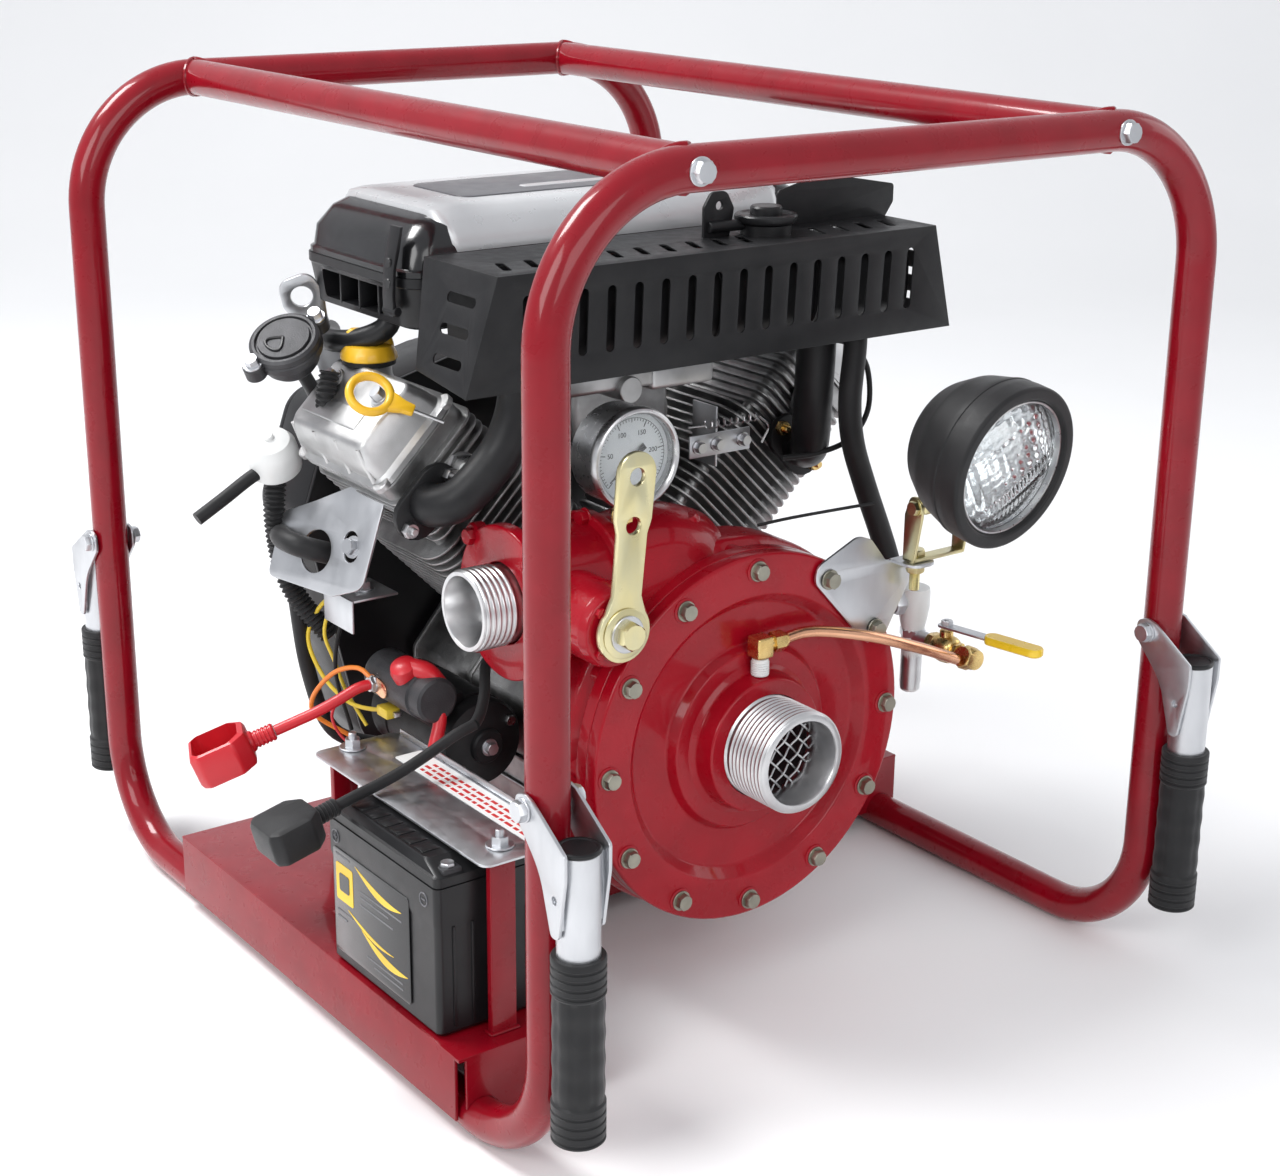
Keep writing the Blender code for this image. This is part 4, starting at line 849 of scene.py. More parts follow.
def valve():
    """Discharge valve body, its hose thread and the lever."""
    body = Build("pump_red")
    profile = rounded([(0, 0.0905), (0.0488, 0.0905), (0.0492, 0.1580), (0.0568, 0.1640),
            (0.0570, 0.1750), (0.0300, 0.1750), (0.0296, 0.1640), (0.0245, 0.1600), (0.0245, 0.1500),
            (0, 0.1500)], [0.003, 0.008, 0.002, 0.0016, 0.001, 0.001, 0.001, 0.001], 5)
    body.lathe(profile, (0, OUTLET_Y, OUTLET_Z), -X, 72)
    # Second flange that joins the valve to the case, with its row of lugs.
    body.lathe([(0.049, 0.0925), (0.0545, 0.0930), (0.0553, 0.0945), (0.0553, 0.1025), (0.0540, 0.1040),
            (0.049, 0.1050)], (0, OUTLET_Y, OUTLET_Z), -X, 64)
    boss = rounded([(0, 0.0930), (0.0265, 0.0930), (0.0290, 0.0860), (0.0290, 0)], [0.003, 0.004], 5)
    body.lathe(boss, (VALVE_X, OUTLET_Y, OUTLET_Z), -Y, 56)
    for k in range(4):
        a = math.radians(45 + 90 * k)
        y, z = OUTLET_Y + 0.0565 * math.cos(a), OUTLET_Z + 0.0565 * math.sin(a)
        body.rod((-0.1640, y, z), (-0.1748, y, z), 0.0098, steps=28, edge=0.0016)
        body.hexagon((-0.1746, y, z), -X, 0.0110, 0.0052, "pump_red")
    for k in range(5):
        a = math.radians(20 + 72 * k)
        y, z = OUTLET_Y + 0.0525 * math.cos(a), OUTLET_Z + 0.0525 * math.sin(a)
        body.hexagon((-0.1032, y, z), -X, 0.0105, 0.0056, "pump_red", washer=0.0070)
    for k in range(4):
        a = math.radians(45 + 90 * k)
        x, z = VALVE_X + 0.0215 * math.cos(a), OUTLET_Z + 0.0215 * math.sin(a)
        body.hexagon((x, OUTLET_Y - 0.0925, z), -Y, 0.0070, 0.0034, "pump_red")
    body.rod((-0.1400, OUTLET_Y, OUTLET_Z + 0.045), (-0.1400, OUTLET_Y, OUTLET_Z + 0.0560), 0.0085,
            steps=28, edge=0.002)
    body.done("discharge_valve_casting", "frame", ["discharge_valve_body"], "pump_red")

    ring = Build("machined_aluminium")
    end = -OUTLET_END_X
    profile = [(0.0252, end - 0.040), (0.0252, end - 0.0010), (0.0258, end), (0.0286, end),
            (0.0292, end - 0.0010)]
    pitch = 0.0044
    for k in range(6):
        top = end - 0.0034 - pitch * k
        profile += [(0.0287, top + pitch * 0.34), (0.0293, top + pitch * 0.20), (0.0300, top),
                (0.0300, top - pitch * 0.20), (0.0293, top - pitch * 0.40),
                (0.0287, top - pitch * 0.52)]
    profile += [(0.0286, 0.1765), (0.0286, 0.1645), (0.0252, 0.1645)]
    ring.lathe(profile, (0, OUTLET_Y, OUTLET_Z), -X, 80, closed=True)
    ring.done("discharge_thread", "frame", ["discharge_adapter"], "machined_aluminium", angle=50)
    # Dark lining inside the discharge bore: painted shade standing in for the shadow deep in the bore.
    shade_lining = Build("grey_casting")
    shade_lining.lathe([(0.0251, 0.1700), (0.0246, 0.1500), (0.0246, 0.1460)], (0, OUTLET_Y, OUTLET_Z), -X, 40)
    shade_lining.done("discharge_passage_shade", "frame", [], "pump_red")

    lean = math.atan2(0.0100, 0.1115)
    up = Vector((math.sin(lean), 0, math.cos(lean)))
    across = Vector((math.cos(lean), 0, -math.sin(lean)))
    eye, top, reach = 0.0215, 0.0155, 0.1120
    turns = [math.radians(140 + 260 * k / 28) for k in range(29)]
    arc = [(eye * math.cos(turn), eye * math.sin(turn)) for turn in turns]
    waist = [(0.0118, 0.0260), (0.0122, 0.0700), (0.0150, 0.0800)]
    turns = [math.pi * k / 20 for k in range(21)]
    cap = [(top * math.cos(turn), reach + top * math.sin(turn)) for turn in turns]
    other = [(-u, v) for u, v in reversed(waist)]
    lever = Build("yellow_zinc")
    centre = (VALVE_X, LEVER_Y, OUTLET_Z)
    lever.plate(arc + waist + cap + other, 0.0050, centre, across, up,
            holes=[circle(0, reach - 0.002, 0.0062, 28), circle(0, reach - 0.036, 0.0062, 28)],
            bevel=0.0009)
    face = Vector(centre) - Y * 0.0025
    lever.lathe([(0.0165, 0), (0.0180, 0.0004), (0.0182, 0.0012), (0.0172, 0.0018), (0, 0.0018)], face,
            -Y, 48)
    lever.lathe([(0.0128, 0.0016), (0.0134, 0.0020), (0.0134, 0.0036), (0.0128, 0.0040), (0, 0.0040)],
            face, -Y, 40, "zinc_plate")
    lever.hexagon(face - Y * 0.0038, -Y, 0.0180, 0.0078, "yellow_zinc", twist=0.4)
    lever.rod(Vector(centre) + Y * 0.0010, Vector(centre) + Y * 0.0050, 0.0120, "steel")
    lever.done("discharge_lever_bar", "discharge_valve", ["discharge_lever"], "yellow_zinc")


def numerals(text, at, size):
    """Raised numbers on a dial, facing the front: the mesh and its place."""
    curve = bpy.data.curves.new("number", "FONT")
    curve.body = text
    curve.size = size
    curve.align_x = "CENTER"
    curve.align_y = "CENTER"
    curve.extrude = 0.00006
    holder = bpy.data.objects.new("number", curve)
    mesh = bpy.data.meshes.new_from_object(holder)
    bpy.data.objects.remove(holder)
    part = bmesh.new()
    part.from_mesh(mesh)
    bpy.data.meshes.remove(mesh)
    return part, axes(at, -Y, X)


def dial_turn(step, steps):
    """Angle on the dial, from its first mark to its last."""
    return math.radians(225 - 270 * step / steps)


def gauge():
    """Pressure gauge: case with its dial, glass and pointer."""
    case = Build("steel")
    back = GAUGE + Y * 0.0345
    case.lathe([(0, 0), (0.0335, 0), (0.0352, 0.0008), (0.0360, 0.0022), (0.0360, 0.0240),
            (0.0366, 0.0250), (0.0372, 0.0262), (0.0374, 0.0290), (0.0372, 0.0318), (0.0364, 0.0338),
            (0.0352, 0.0345), (0.0338, 0.0342), (0.0328, 0.0330), (0.0325, 0.0315), (0.0325, 0.0240),
            (0, 0.0240)], back, -Y, 88)
    case.rod(GAUGE + Vector((0, 0.0205, -0.0330)), (GAUGE.x, GAUGE.y + 0.0205, OUTLET_Z + 0.0510),
            0.0062, "brass")
    case.hexagon((GAUGE.x, GAUGE.y + 0.0205, OUTLET_Z + 0.0530), Z, 0.0150, 0.0080, "brass")
    case.lathe([(0, 0.0241), (0.0322, 0.0241), (0.0323, 0.0246), (0.0310, 0.0250), (0, 0.0250)], back,
            -Y, 72, "dial")
    face_y = back.y - 0.0252
    for k in range(51):
        turn = dial_turn(k, 50)
        long = k % 10 == 0
        outer = 0.0280
        inner = 0.0232 if long else 0.0252 if k % 5 == 0 else 0.0262
        half = 0.00030 if long else 0.00018
        u, v = math.cos(turn), math.sin(turn)
        centre = Vector((GAUGE.x + (inner + outer) / 2 * u, face_y, GAUGE.z + (inner + outer) / 2 * v))
        along = Vector((u, 0, v))
        matrix = axes(centre, -Y, along)
        case.box((-(outer - inner) / 2, -half, -0.00010), ((outer - inner) / 2, half, 0.00010), 0,
                mat="ink", matrix=matrix)
    for k in range(6):
        turn = dial_turn(k, 5)
        at = Vector((GAUGE.x + 0.0188 * math.cos(turn), face_y, GAUGE.z + 0.0188 * math.sin(turn)))
        part, matrix = numerals(str(50 * k), at, 0.0050)
        case.add(part, "ink", matrix, outward=False)
    arc = []
    for k in range(61):
        turn = dial_turn(k, 60)
        arc.append((GAUGE.x + 0.0284 * math.cos(turn), face_y, GAUGE.z + 0.0284 * math.sin(turn)))
    case.pipe(arc, 0.00018, 6, "ink")
    case.done("gauge_body", "frame", ["gauge_case"], "steel")
    glass = Build("lens_glass")
    glass.lathe([(0, 0.0324), (0.0200, 0.0319), (0.0322, 0.0312), (0.0322, 0.0300), (0.0200, 0.0306),
            (0, 0.0310)], back, -Y, 64)
    glass.done("gauge_glass", "frame", ["gauge_lens"], "clear_glass")
    hub = Vector((GAUGE.x, GAUGE.y + 0.0070, GAUGE.z))
    tilt = math.radians(232)
    along = Vector((math.sin(tilt), 0, math.cos(tilt)))
    across = Vector((math.cos(tilt), 0, -math.sin(tilt)))
    needle = Build("ink")
    needle.plate([(-0.0026, -0.0125), (0.0026, -0.0125), (0.0014, -0.0030), (0.0016, 0),
            (0.0003, 0.0255), (-0.0003, 0.0255), (-0.0016, 0), (-0.0014, -0.0030)], 0.0006, hub, across,
            along, bevel=0.0001)
    needle.lathe([(0.0030, -0.0004), (0.0032, 0.0004), (0.0026, 0.0012), (0, 0.0013)], hub, -Y, 28)
    needle.rod(hub - Y * 0.0010, hub + Y * 0.0022, 0.0010)
    needle.done("gauge_pointer", "needle", ["gauge_needle"], "black_steel")


pump_case()
valve()
gauge()


# ---------------------------------------------------------------- priming line and lamp
def priming():
    """Copper line from the pump cover to the primer valve, its ejector and its lever."""
    line = Build("copper")
    path = catmull([ELBOW + X * 0.016, ELBOW + Vector((0.050, 0, 0.0005)),
            ELBOW + Vector((0.100, -0.0090, -0.0110)), ELBOW + Vector((0.150, -0.0110, -0.0300)),
            PRIMER + Vector((-0.0150, 0, 0.0020))], 0.003)
    line.pipe(path, 0.0045, 28)
    foot = SHAFT_Z + 0.0537
    nipple = [(0, foot), (0.0066, foot)]
    for k in range(6):
        z = foot + 0.0012 + 0.0018 * k
        nipple += [(0.0070, z), (0.0063, z + 0.0009)]
    nipple += [(0.0060, foot + 0.0130), (0, foot + 0.0130)]
    line.lathe(nipple, (ELBOW.x, ELBOW.y, 0), Z, 32, "white_plastic")
    line.box(ELBOW + Vector((-0.0075, -0.0072, -0.0090)), ELBOW + Vector((0.0072, 0.0072, 0.0072)),
            0.0016, 3, "brass")
    line.rod(ELBOW + X * 0.006, ELBOW + X * 0.0115, 0.0056, "brass", 32)
    line.hexagon(ELBOW + X * 0.0100, X, 0.0142, 0.0110, "brass", twist=0.3)
    line.lathe([(0.0064, 0), (0.0056, 0.0030), (0.0047, 0.0040)], ELBOW + X * 0.0206, X, 32, "brass")
    line.done("primer_line", "frame", ["primer_tube"], "copper")

    body = Build("brass")
    toward = (path[-1] - path[-2]).normalized()
    body.hexagon(PRIMER + Vector((0.0010, 0, -0.0015)), -toward, 0.0165, 0.0120, "brass")
    body.lathe([(0, -0.0090), (0.0080, -0.0080), (0.0092, -0.0030), (0.0092, 0.0040), (0.0074, 0.0070)],
            PRIMER, Y, 36)
    body.rod(PRIMER + Y * 0.0050, PRIMER + Y * 0.0150, 0.0066, steps=32)
    body.hexagon(PRIMER + Y * 0.0110, Y, 0.0150, 0.0060, "brass")
    ball = [(0.0070, 0.0160), (0.0096, 0.0176), (0.0112, 0.0210), (0.0118, 0.0270), (0.0112, 0.0330),
            (0.0096, 0.0364), (0.0070, 0.0380)]
    body.lathe(ball, PRIMER, Y, 40)
    body.hexagon(PRIMER + Y * 0.0375, Y, 0.0165, 0.0070, "brass")
    body.lathe([(0.0080, 0.0440), (0.0064, 0.0450), (0.0064, 0.0560), (0.0070, 0.0570),
            (0.0070, 0.0620)], PRIMER, Y, 32, "zinc_plate")
    body.lathe([(0.0056, 0.0), (0.0056, 0.0150), (0.0046, 0.0160), (0, 0.0160)], PRIMER + Y * 0.0270, Z,
            28)
    foot = PRIMER + Y * 0.0660
    stack = [(0, 0.0420), (0.0105, 0.0420), (0.0124, 0.0410), (0.0130, 0.0380), (0.0128, 0.0240),
            (0.0112, 0.0140), (0.0096, 0.0060), (0.0092, -0.0020), (0.0088, -0.0040), (0.0085, -0.0400),
            (0.0078, -0.0470), (0.0066, -0.0480), (0.0060, -0.0400), (0.0060, 0)]
    body.lathe(stack, foot, Z, 40, "white_plastic")
    body.lathe([(0.0093, -0.0060), (0.0093, -0.0100), (0.0087, -0.0120), (0.0087, -0.0400),
            (0.0080, -0.0460)], foot, Z, 36, "machined_aluminium")
    body.hexagon(foot, Z, 0.0190, 0.0070, "zinc_plate")
    branch = catmull([foot + Vector((0, 0, 0.030)), foot + Vector((-0.018, 0.004, 0.030)),
            foot + Vector((-0.040, 0.010, 0.030))], 0.004)
    body.pipe(branch, 0.0078, 24, "zinc_plate")
    body.hexagon(foot + Vector((-0.012, 0.0027, 0.030)), Vector((-0.97, 0.2, 0)), 0.0180, 0.0080,
            "zinc_plate")
    body.done("primer_valve", "frame", ["primer_valve_body"], "brass")

    hinge = PRIMER + Vector((0, 0.0270, 0.0175))
    matrix = Matrix.Translation(hinge) @ Matrix.Rotation(math.radians(10), 4, "Z")
    arm = Build("yellow_vinyl")
    tiers(arm, [(-0.0022, -0.0066, -0.0890, 0.0066, -0.0385, 0.0060),
            (-0.0010, -0.0080, -0.0900, 0.0080, -0.0380, 0.0078),
            (0.0030, -0.0080, -0.0900, 0.0080, -0.0380, 0.0078),
            (0.0044, -0.0066, -0.0890, 0.0066, -0.0385, 0.0060)], matrix=matrix, steps=10)
    arm.plate(rect(-0.0055, -0.0500, 0.0055, 0.0075, 0.005), 0.0020, matrix @ Vector((0, 0, 0.0012)),
            matrix.to_3x3() @ X, matrix.to_3x3() @ Y, bevel=0.0005, mat="zinc_plate")
    arm.hexagon(matrix @ Vector((0, 0, 0.0022)), Z, 0.0088, 0.0040, "zinc_plate", stud=0.0008)
    arm.done("primer_lever_arm", "primer_lever", ["primer_valve_lever"], "yellow_plastic")


def head_lamp():
    """Lamp bracket, yoke, shell and moulded glass."""
    sheet = Build("zinc_plate")
    face = COVER_Y - 0.0030
    outline = rounded([(0.0520, 0.3180), (0.0560, 0.3300), (0.0950, 0.3470), (0.1080, 0.3420),
            (0.1240, 0.3221), (0.1560, 0.3215), (0.1570, 0.3140), (0.1340, 0.2760), (0.1250, 0.2600),
            (0.1080, 0.2580), (0.1000, 0.2660)], [0.010, 0.010, 0.014, 0.010, 0.006, 0.004, 0.008, 0.02,
            0.012, 0.010, 0.02], 6, closed=True)
    bolts = [on_bolt_circle(degrees) for degrees in (30, 60)]
    sheet.plate(outline, 0.0025, (0, face, 0), X, Z, holes=[circle(u, v, 0.0045, 24) for u, v in bolts],
            bevel=0.0005)
    tab = rounded([(0.1290, face), (0.1290, face - 0.0260), (0.1560, face - 0.0260), (0.1560, face)],
            [0.0, 0.010, 0.010, 0.0], 8, closed=True)
    sheet.plate(tab, 0.0025, (0, 0, 0.32125), X, Y, holes=[circle(STUD.x, STUD.y, 0.0046, 24)],
            bevel=0.0005)
    sheet.pipe([(0.1285, face - 0.0002, 0.3213), (0.1565, face - 0.0002, 0.3213)], 0.0016, 12)
    sheet.done("lamp_plate", "frame", ["lamp_bracket"], "zinc_plate")

    yoke = Build("yellow_zinc")
    foot = rect(STUD.x - 0.0130, STUD.y - 0.0110, STUD.x + 0.0410, STUD.y + 0.0008, 0.0025, 4)
    yoke.plate(foot, 0.0028, (0, 0, 0.3243), X, Y, bevel=0.0006)
    for x in (STUD.x - 0.0117, STUD.x + 0.0397):
        ear = rounded([(STUD.y - 0.0110, 0.3235), (STUD.y + 0.0010, 0.3235), (STUD.y + 0.0010, 0.3600),
                (LAMP_TILT.y + 0.0075, 0.3755), (LAMP_TILT.y - 0.0068, 0.3755),
                (STUD.y - 0.0175, 0.3600)], [0, 0, 0.004, 0.006, 0.006, 0.004], 6, closed=True)
        yoke.plate(ear, 0.0026, (x, 0, 0), Y, Z, bevel=0.0005)
    yoke.hexagon((STUD.x - 0.0130, LAMP_TILT.y, LAMP_TILT.z), -X, 0.0100, 0.0042, "yellow_zinc",
            washer=0.0066)
    yoke.hexagon((STUD.x + 0.0410, LAMP_TILT.y, LAMP_TILT.z), X, 0.0100, 0.0042, "yellow_zinc",
            washer=0.0066)
    thread = [(0, 0.2970), (0.0036, 0.2972)]
    for k in range(12):
        thread += [(0.0042, 0.2980 + 0.0013 * k), (0.0037, 0.29865 + 0.0013 * k)]
    thread += [(0.0042, 0.3140), (0.0042, 0.3240), (0, 0.3240)]
    yoke.lathe(thread, (STUD.x, STUD.y, 0), Z, 24)
    yoke.hexagon((STUD.x, STUD.y, 0.3196), -Z, 0.0130, 0.0064, "yellow_zinc", washer=0.0084)
    yoke.hexagon((STUD.x, STUD.y, 0.3257), Z, 0.0125, 0.0046, "yellow_zinc")
    yoke.done("lamp_yoke_bracket", "lamp_arm", ["lamp_yoke"], "yellow_zinc")

    back = LAMP_TILT - LAMP_AIM * 0.002 + Z * 0.0535 - X * 0.004
    grow = 1.08

    def big(profile):
        return [(r * grow, h * grow) for r, h in profile]

    shell = Build("black_rubber")
    outer = rounded([(0, -0.0060), (0.0200, -0.0056), (0.0400, 0.0060), (0.0520, 0.0260),
            (0.0570, 0.0450), (0.0585, 0.0560), (0.0585, 0.0700), (0.0500, 0.0700), (0.0488, 0.0668),
            (0.0478, 0.0668), (0.0478, 0.0585), (0.0430, 0.0560)],
            [0.02, 0.02, 0.02, 0.03, 0.02, 0.0028, 0.0018, 0.0006, 0.0005, 0.0005], 6)
    shell.lathe(big(outer), back, LAMP_AIM, 96)
    level, radius = 0.0470, 0.0574
    bead = [(radius - 0.0004, level), (radius + 0.0007, level + 0.0008),
            (radius + 0.0008, level + 0.0024), (radius + 0.0002, level + 0.0034)]
    shell.lathe(big(bead), back, LAMP_AIM, 96)
    shell.lathe(big([(0.0484, 0.0662), (0.0476, 0.0672), (0.0466, 0.0672), (0.0462, 0.0660),
            (0.0462, 0.0600)]), back, LAMP_AIM, 96, "steel")
    bowl = [(0.0462, 0.0600), (0.0440, 0.0500), (0.0380, 0.0360), (0.0280, 0.0240), (0.0150, 0.0165),
            (0.0, 0.0140)]
    shell.lathe(big(bowl), back, LAMP_AIM, 96, "reflector")
    shell.lathe(big([(0, 0.0300), (0.0045, 0.0290), (0.0060, 0.0250), (0.0060, 0.0140)]), back, LAMP_AIM,
            32, "reflector")
    shell.box((STUD.x - 0.0098, LAMP_TILT.y - 0.0058, LAMP_TILT.z - 0.0058),
            (STUD.x + 0.0378, LAMP_TILT.y + 0.0040, LAMP_TILT.z + 0.0180), 0.0025, 3, "yellow_zinc")
    shell.done("lamp_shell", "lamp_head", ["lamp_housing"], "black_rubber")

    lens = Build("lens_glass")
    part = bmesh.new()
    turn = math.radians(28)
    fronts, backs = [], []
    rings, steps, rim = 44, 120, 0.0460
    for i in range(rings + 1):
        r = rim * i / rings
        front, rear = [], []
        for k in range(steps):
            a = math.tau * k / steps
            u, v = r * math.cos(a), r * math.sin(a)
            p = u * math.cos(turn) + v * math.sin(turn)
            q = -u * math.sin(turn) + v * math.cos(turn)
            dome = 0.0690 - 0.0062 * (r / rim) ** 2
            fade = min(1.0, (rim - r) / 0.003)
            if q > -0.014:
                rib = 0.00045 * math.cos(math.tau * p / 0.0080) + 0.00025 * math.cos(math.tau * q / 0.0070)
            else:
                rib = 0.00050 * math.cos(math.tau * p / 0.0040)
            for groove in (-0.014, -0.025, 0.024):
                rib -= 0.0011 * math.exp(-((q - groove) / 0.0010) ** 2)
            front.append(part.verts.new((u, v, dome + rib * fade)))
            rear.append(part.verts.new((u, v, dome - 0.0028)))
            if i == 0:
                break
        fronts.append(front)
        backs.append(rear)
    for skin in (fronts, backs):
        for a, b in zip(skin, skin[1:]):
            for k in range(steps):
                j = (k + 1) % steps
                if len(a) == 1:
                    part.faces.new((a[0], b[k], b[j]))
                else:
                    part.faces.new((a[k], b[k], b[j], a[j]))
    for k in range(steps):
        j = (k + 1) % steps
        part.faces.new((fronts[-1][k], backs[-1][k], backs[-1][j], fronts[-1][j]))
    lens.add(part, None, axes(back, LAMP_AIM, X) @ Matrix.Scale(grow, 4))
    lens.done("lamp_glass", "lamp_head", ["lamp_lens"], "clear_glass", angle=60)


priming()
head_lamp()


# ---------------------------------------------------------------- heat guard, muffler and pipes
def guard():
    """Slotted heat guard, muffler, exhaust pipes, and the hose and cables beside them."""
    top, low, front, back = 0.566, 0.485, -0.150, -0.056
    first_slot, slot_pitch = -0.174, 0.0232
    top_x, low_x = 0.198, 0.222
    plate = Build("black_steel")
    thick = 0.0016
    up = Vector((0, -0.004, top - low)).normalized()
    rise = (top - low) / up.z
    mid = rise / 2 + 0.002
    slots = [slot_loop(first_slot + slot_pitch * k, mid, 0.0470, 0.0072,
            math.pi / 2) for k in range(16)]
    plate.plate([(-low_x, 0), (low_x, 0), (top_x, rise), (-top_x, rise)], thick, (0, front + 0.004, low),
            X, up, holes=slots, bevel=0.0005)
    slots = [slot_loop(first_slot + slot_pitch * k, front + 0.030, 0.0300, 0.0062,
            math.radians(70)) for k in range(16) if not 9 < k < 12]
    plate.plate([(-top_x, front - 0.0004), (top_x, front - 0.0004), (top_x, back), (-top_x, back)],
            thick, (0, 0, top - thick / 2), X, Y, holes=slots, bevel=0.0005)
    slots = [slot_loop(-0.114, 0.0200 + 0.0215 * k, 0.0360, 0.0072) for k in range(3)]
    for side in (-1, 1):
        lean = Vector((-side * (low_x - top_x), 0, top - low)).normalized()
        height = (top - low) / lean.z
        far = -0.078 if side < 0 else back
        plate.plate([(front + 0.0038, 0), (far, 0.008), (back, height), (front - 0.0004, height)], thick,
                (side * (low_x - thick / 2), 0, low), Y, lean, holes=slots, bevel=0.0005)
    boss = Vector((0.0650, -0.1080, top - 0.0008))
    plate.lathe([(0.0150, 0), (0.0190, 0.0004), (0.0192, 0.0080), (0.0228, 0.0100), (0.0236, 0.0115),
            (0.0236, 0.0145), (0.0226, 0.0156), (0.0200, 0.0158), (0.0185, 0.0150), (0, 0.0150)], boss,
            Z, 56, "black_plastic")
    plate.lathe([(0.0120, 0.0140), (0.0120, 0.0200), (0.0110, 0.0214), (0, 0.0214)], boss, Z, 40,
            "black_plastic")
    strap = rounded([(0.0120, 0.5650), (0.0360, 0.5650), (0.0400, 0.5860), (0.0330, 0.5990),
            (0.0190, 0.5990), (0.0120, 0.5880)], [0, 0, 0.004, 0.007, 0.007, 0.004], 6, closed=True)
    plate.plate(strap, 0.0030, (0, -0.1000, 0), X, Z, holes=[circle(0.0262, 0.5885, 0.0032, 20)],
            bevel=0.0006)
    plate.rod((0.0150, -0.1030, 0.5735), (0.0480, -0.1030, 0.5735), 0.0042, steps=24)
    stay = rounded([(0.0900, top - 0.001), (0.2000, top - 0.001), (0.2080, 0.5760), (0.2080, 0.5900),
            (0.1350, 0.6030), (0.0900, 0.5930)], [0, 0.003, 0.004, 0.003, 0.01, 0.004], 5, closed=True)
    plate.plate(stay, 0.0020, (0, -0.0900, 0), X, Z, bevel=0.0005)
    plate.done("heat_shield", "frame", ["heat_guard"], "black_steel")

    can = Build("black_steel")
    tiers(can, [(-0.1850, 0.4960, -0.1360, 0.5560, -0.0640, 0.020),
            (-0.1820, 0.4930, -0.1395, 0.5590, -0.0605, 0.024),
            (0.1820, 0.4930, -0.1395, 0.5590, -0.0605, 0.024), (0.1850, 0.4960, -0.1360, 0.5560, -0.0640,
            0.020)], matrix=Matrix(((0, 0, 1, 0), (0, 1, 0, 0), (1, 0, 0, 0), (0, 0, 0, 1))))
    for x in (-0.178, -0.09, 0.0, 0.09, 0.178):
        loop = [(x, v, u) for u, v in rect(0.4928, -0.1397, 0.5592, -0.0603, 0.024)]
        can.pipe(loop + loop[:1], 0.0014, 8, caps=False)
    can.done("muffler_can", "frame", ["muffler"], "black_steel")

    bolt_off = 0.0205
    for name, x, y, z, lean, nut, route in (("left", -0.2000, -0.0545, 0.3900, 1, "steel",
            ((-0.2000, -0.0700, 0.3900), (-0.1880, -0.0880, 0.4000), (-0.1620, -0.0960, 0.4300),
            (-0.1500, -0.1000, 0.4620), (-0.1500, -0.1000, 0.4908))),
            ("right", 0.1600, -0.0365, 0.3750, -1, "brass", ((0.1590, -0.0540, 0.3750),
            (0.1420, -0.0780, 0.3900), (0.1330, -0.0900, 0.4250), (0.1300, -0.0950, 0.4620),
            (0.1300, -0.0950, 0.4908)))):
        pipe = Build("black_steel")
        pipe.pipe(catmull([(x, y, z), *route], 0.004), 0.0155, 36)
        pipe.plate(slot_loop(0, 0, 0.062, 0.036, math.radians(45 * lean)), 0.006, (x, y - 0.0015, z), X,
                Z, bevel=0.001)
        for s in (-1, 1):
            at = Vector((x + bolt_off * s * 0.85, y - 0.0045, z + bolt_off * s * 0.85 * lean))
            pipe.hexagon(at, -Y, 0.0105, 0.0060, nut, stud=0.004)
        pipe.done(f"exhaust_{name}", "frame", [f"exhaust_pipe_{name}"], "black_steel")
    hose = Build("black_rubber")
    wire(hose, [(0.1480, -0.1200, 0.4930), (0.1480, -0.1200, 0.4700), (0.1450, -0.1200, 0.4300),
            (0.1500, -0.1200, 0.3960), (0.1640, -0.1200, 0.3600), (0.1830, -0.1200, 0.3180),
            (0.1930, -0.1220, 0.2900), (0.1930, -0.1300, 0.2660)], 0.0092, None, 28)
    wire(hose, [(0.1300, -0.1180, 0.4800), (0.1560, -0.1100, 0.4700), (0.1760, -0.1050, 0.4480),
            (0.1790, -0.1040, 0.4150), (0.1640, -0.1000, 0.3920), (0.1380, -0.0900, 0.3820),
            (0.1120, -0.0800, 0.3800)], 0.0022, None, 12)
    wire(hose, [(0.0300, -0.1500, 0.3560), (0.0520, -0.1620, 0.3610), (0.0900, -0.1780, 0.3660),
            (0.1120, -0.1885, 0.3690)], 0.0013, None, 10)
    hose.done("vent_hose_and_cables", "frame", [], "black_rubber")


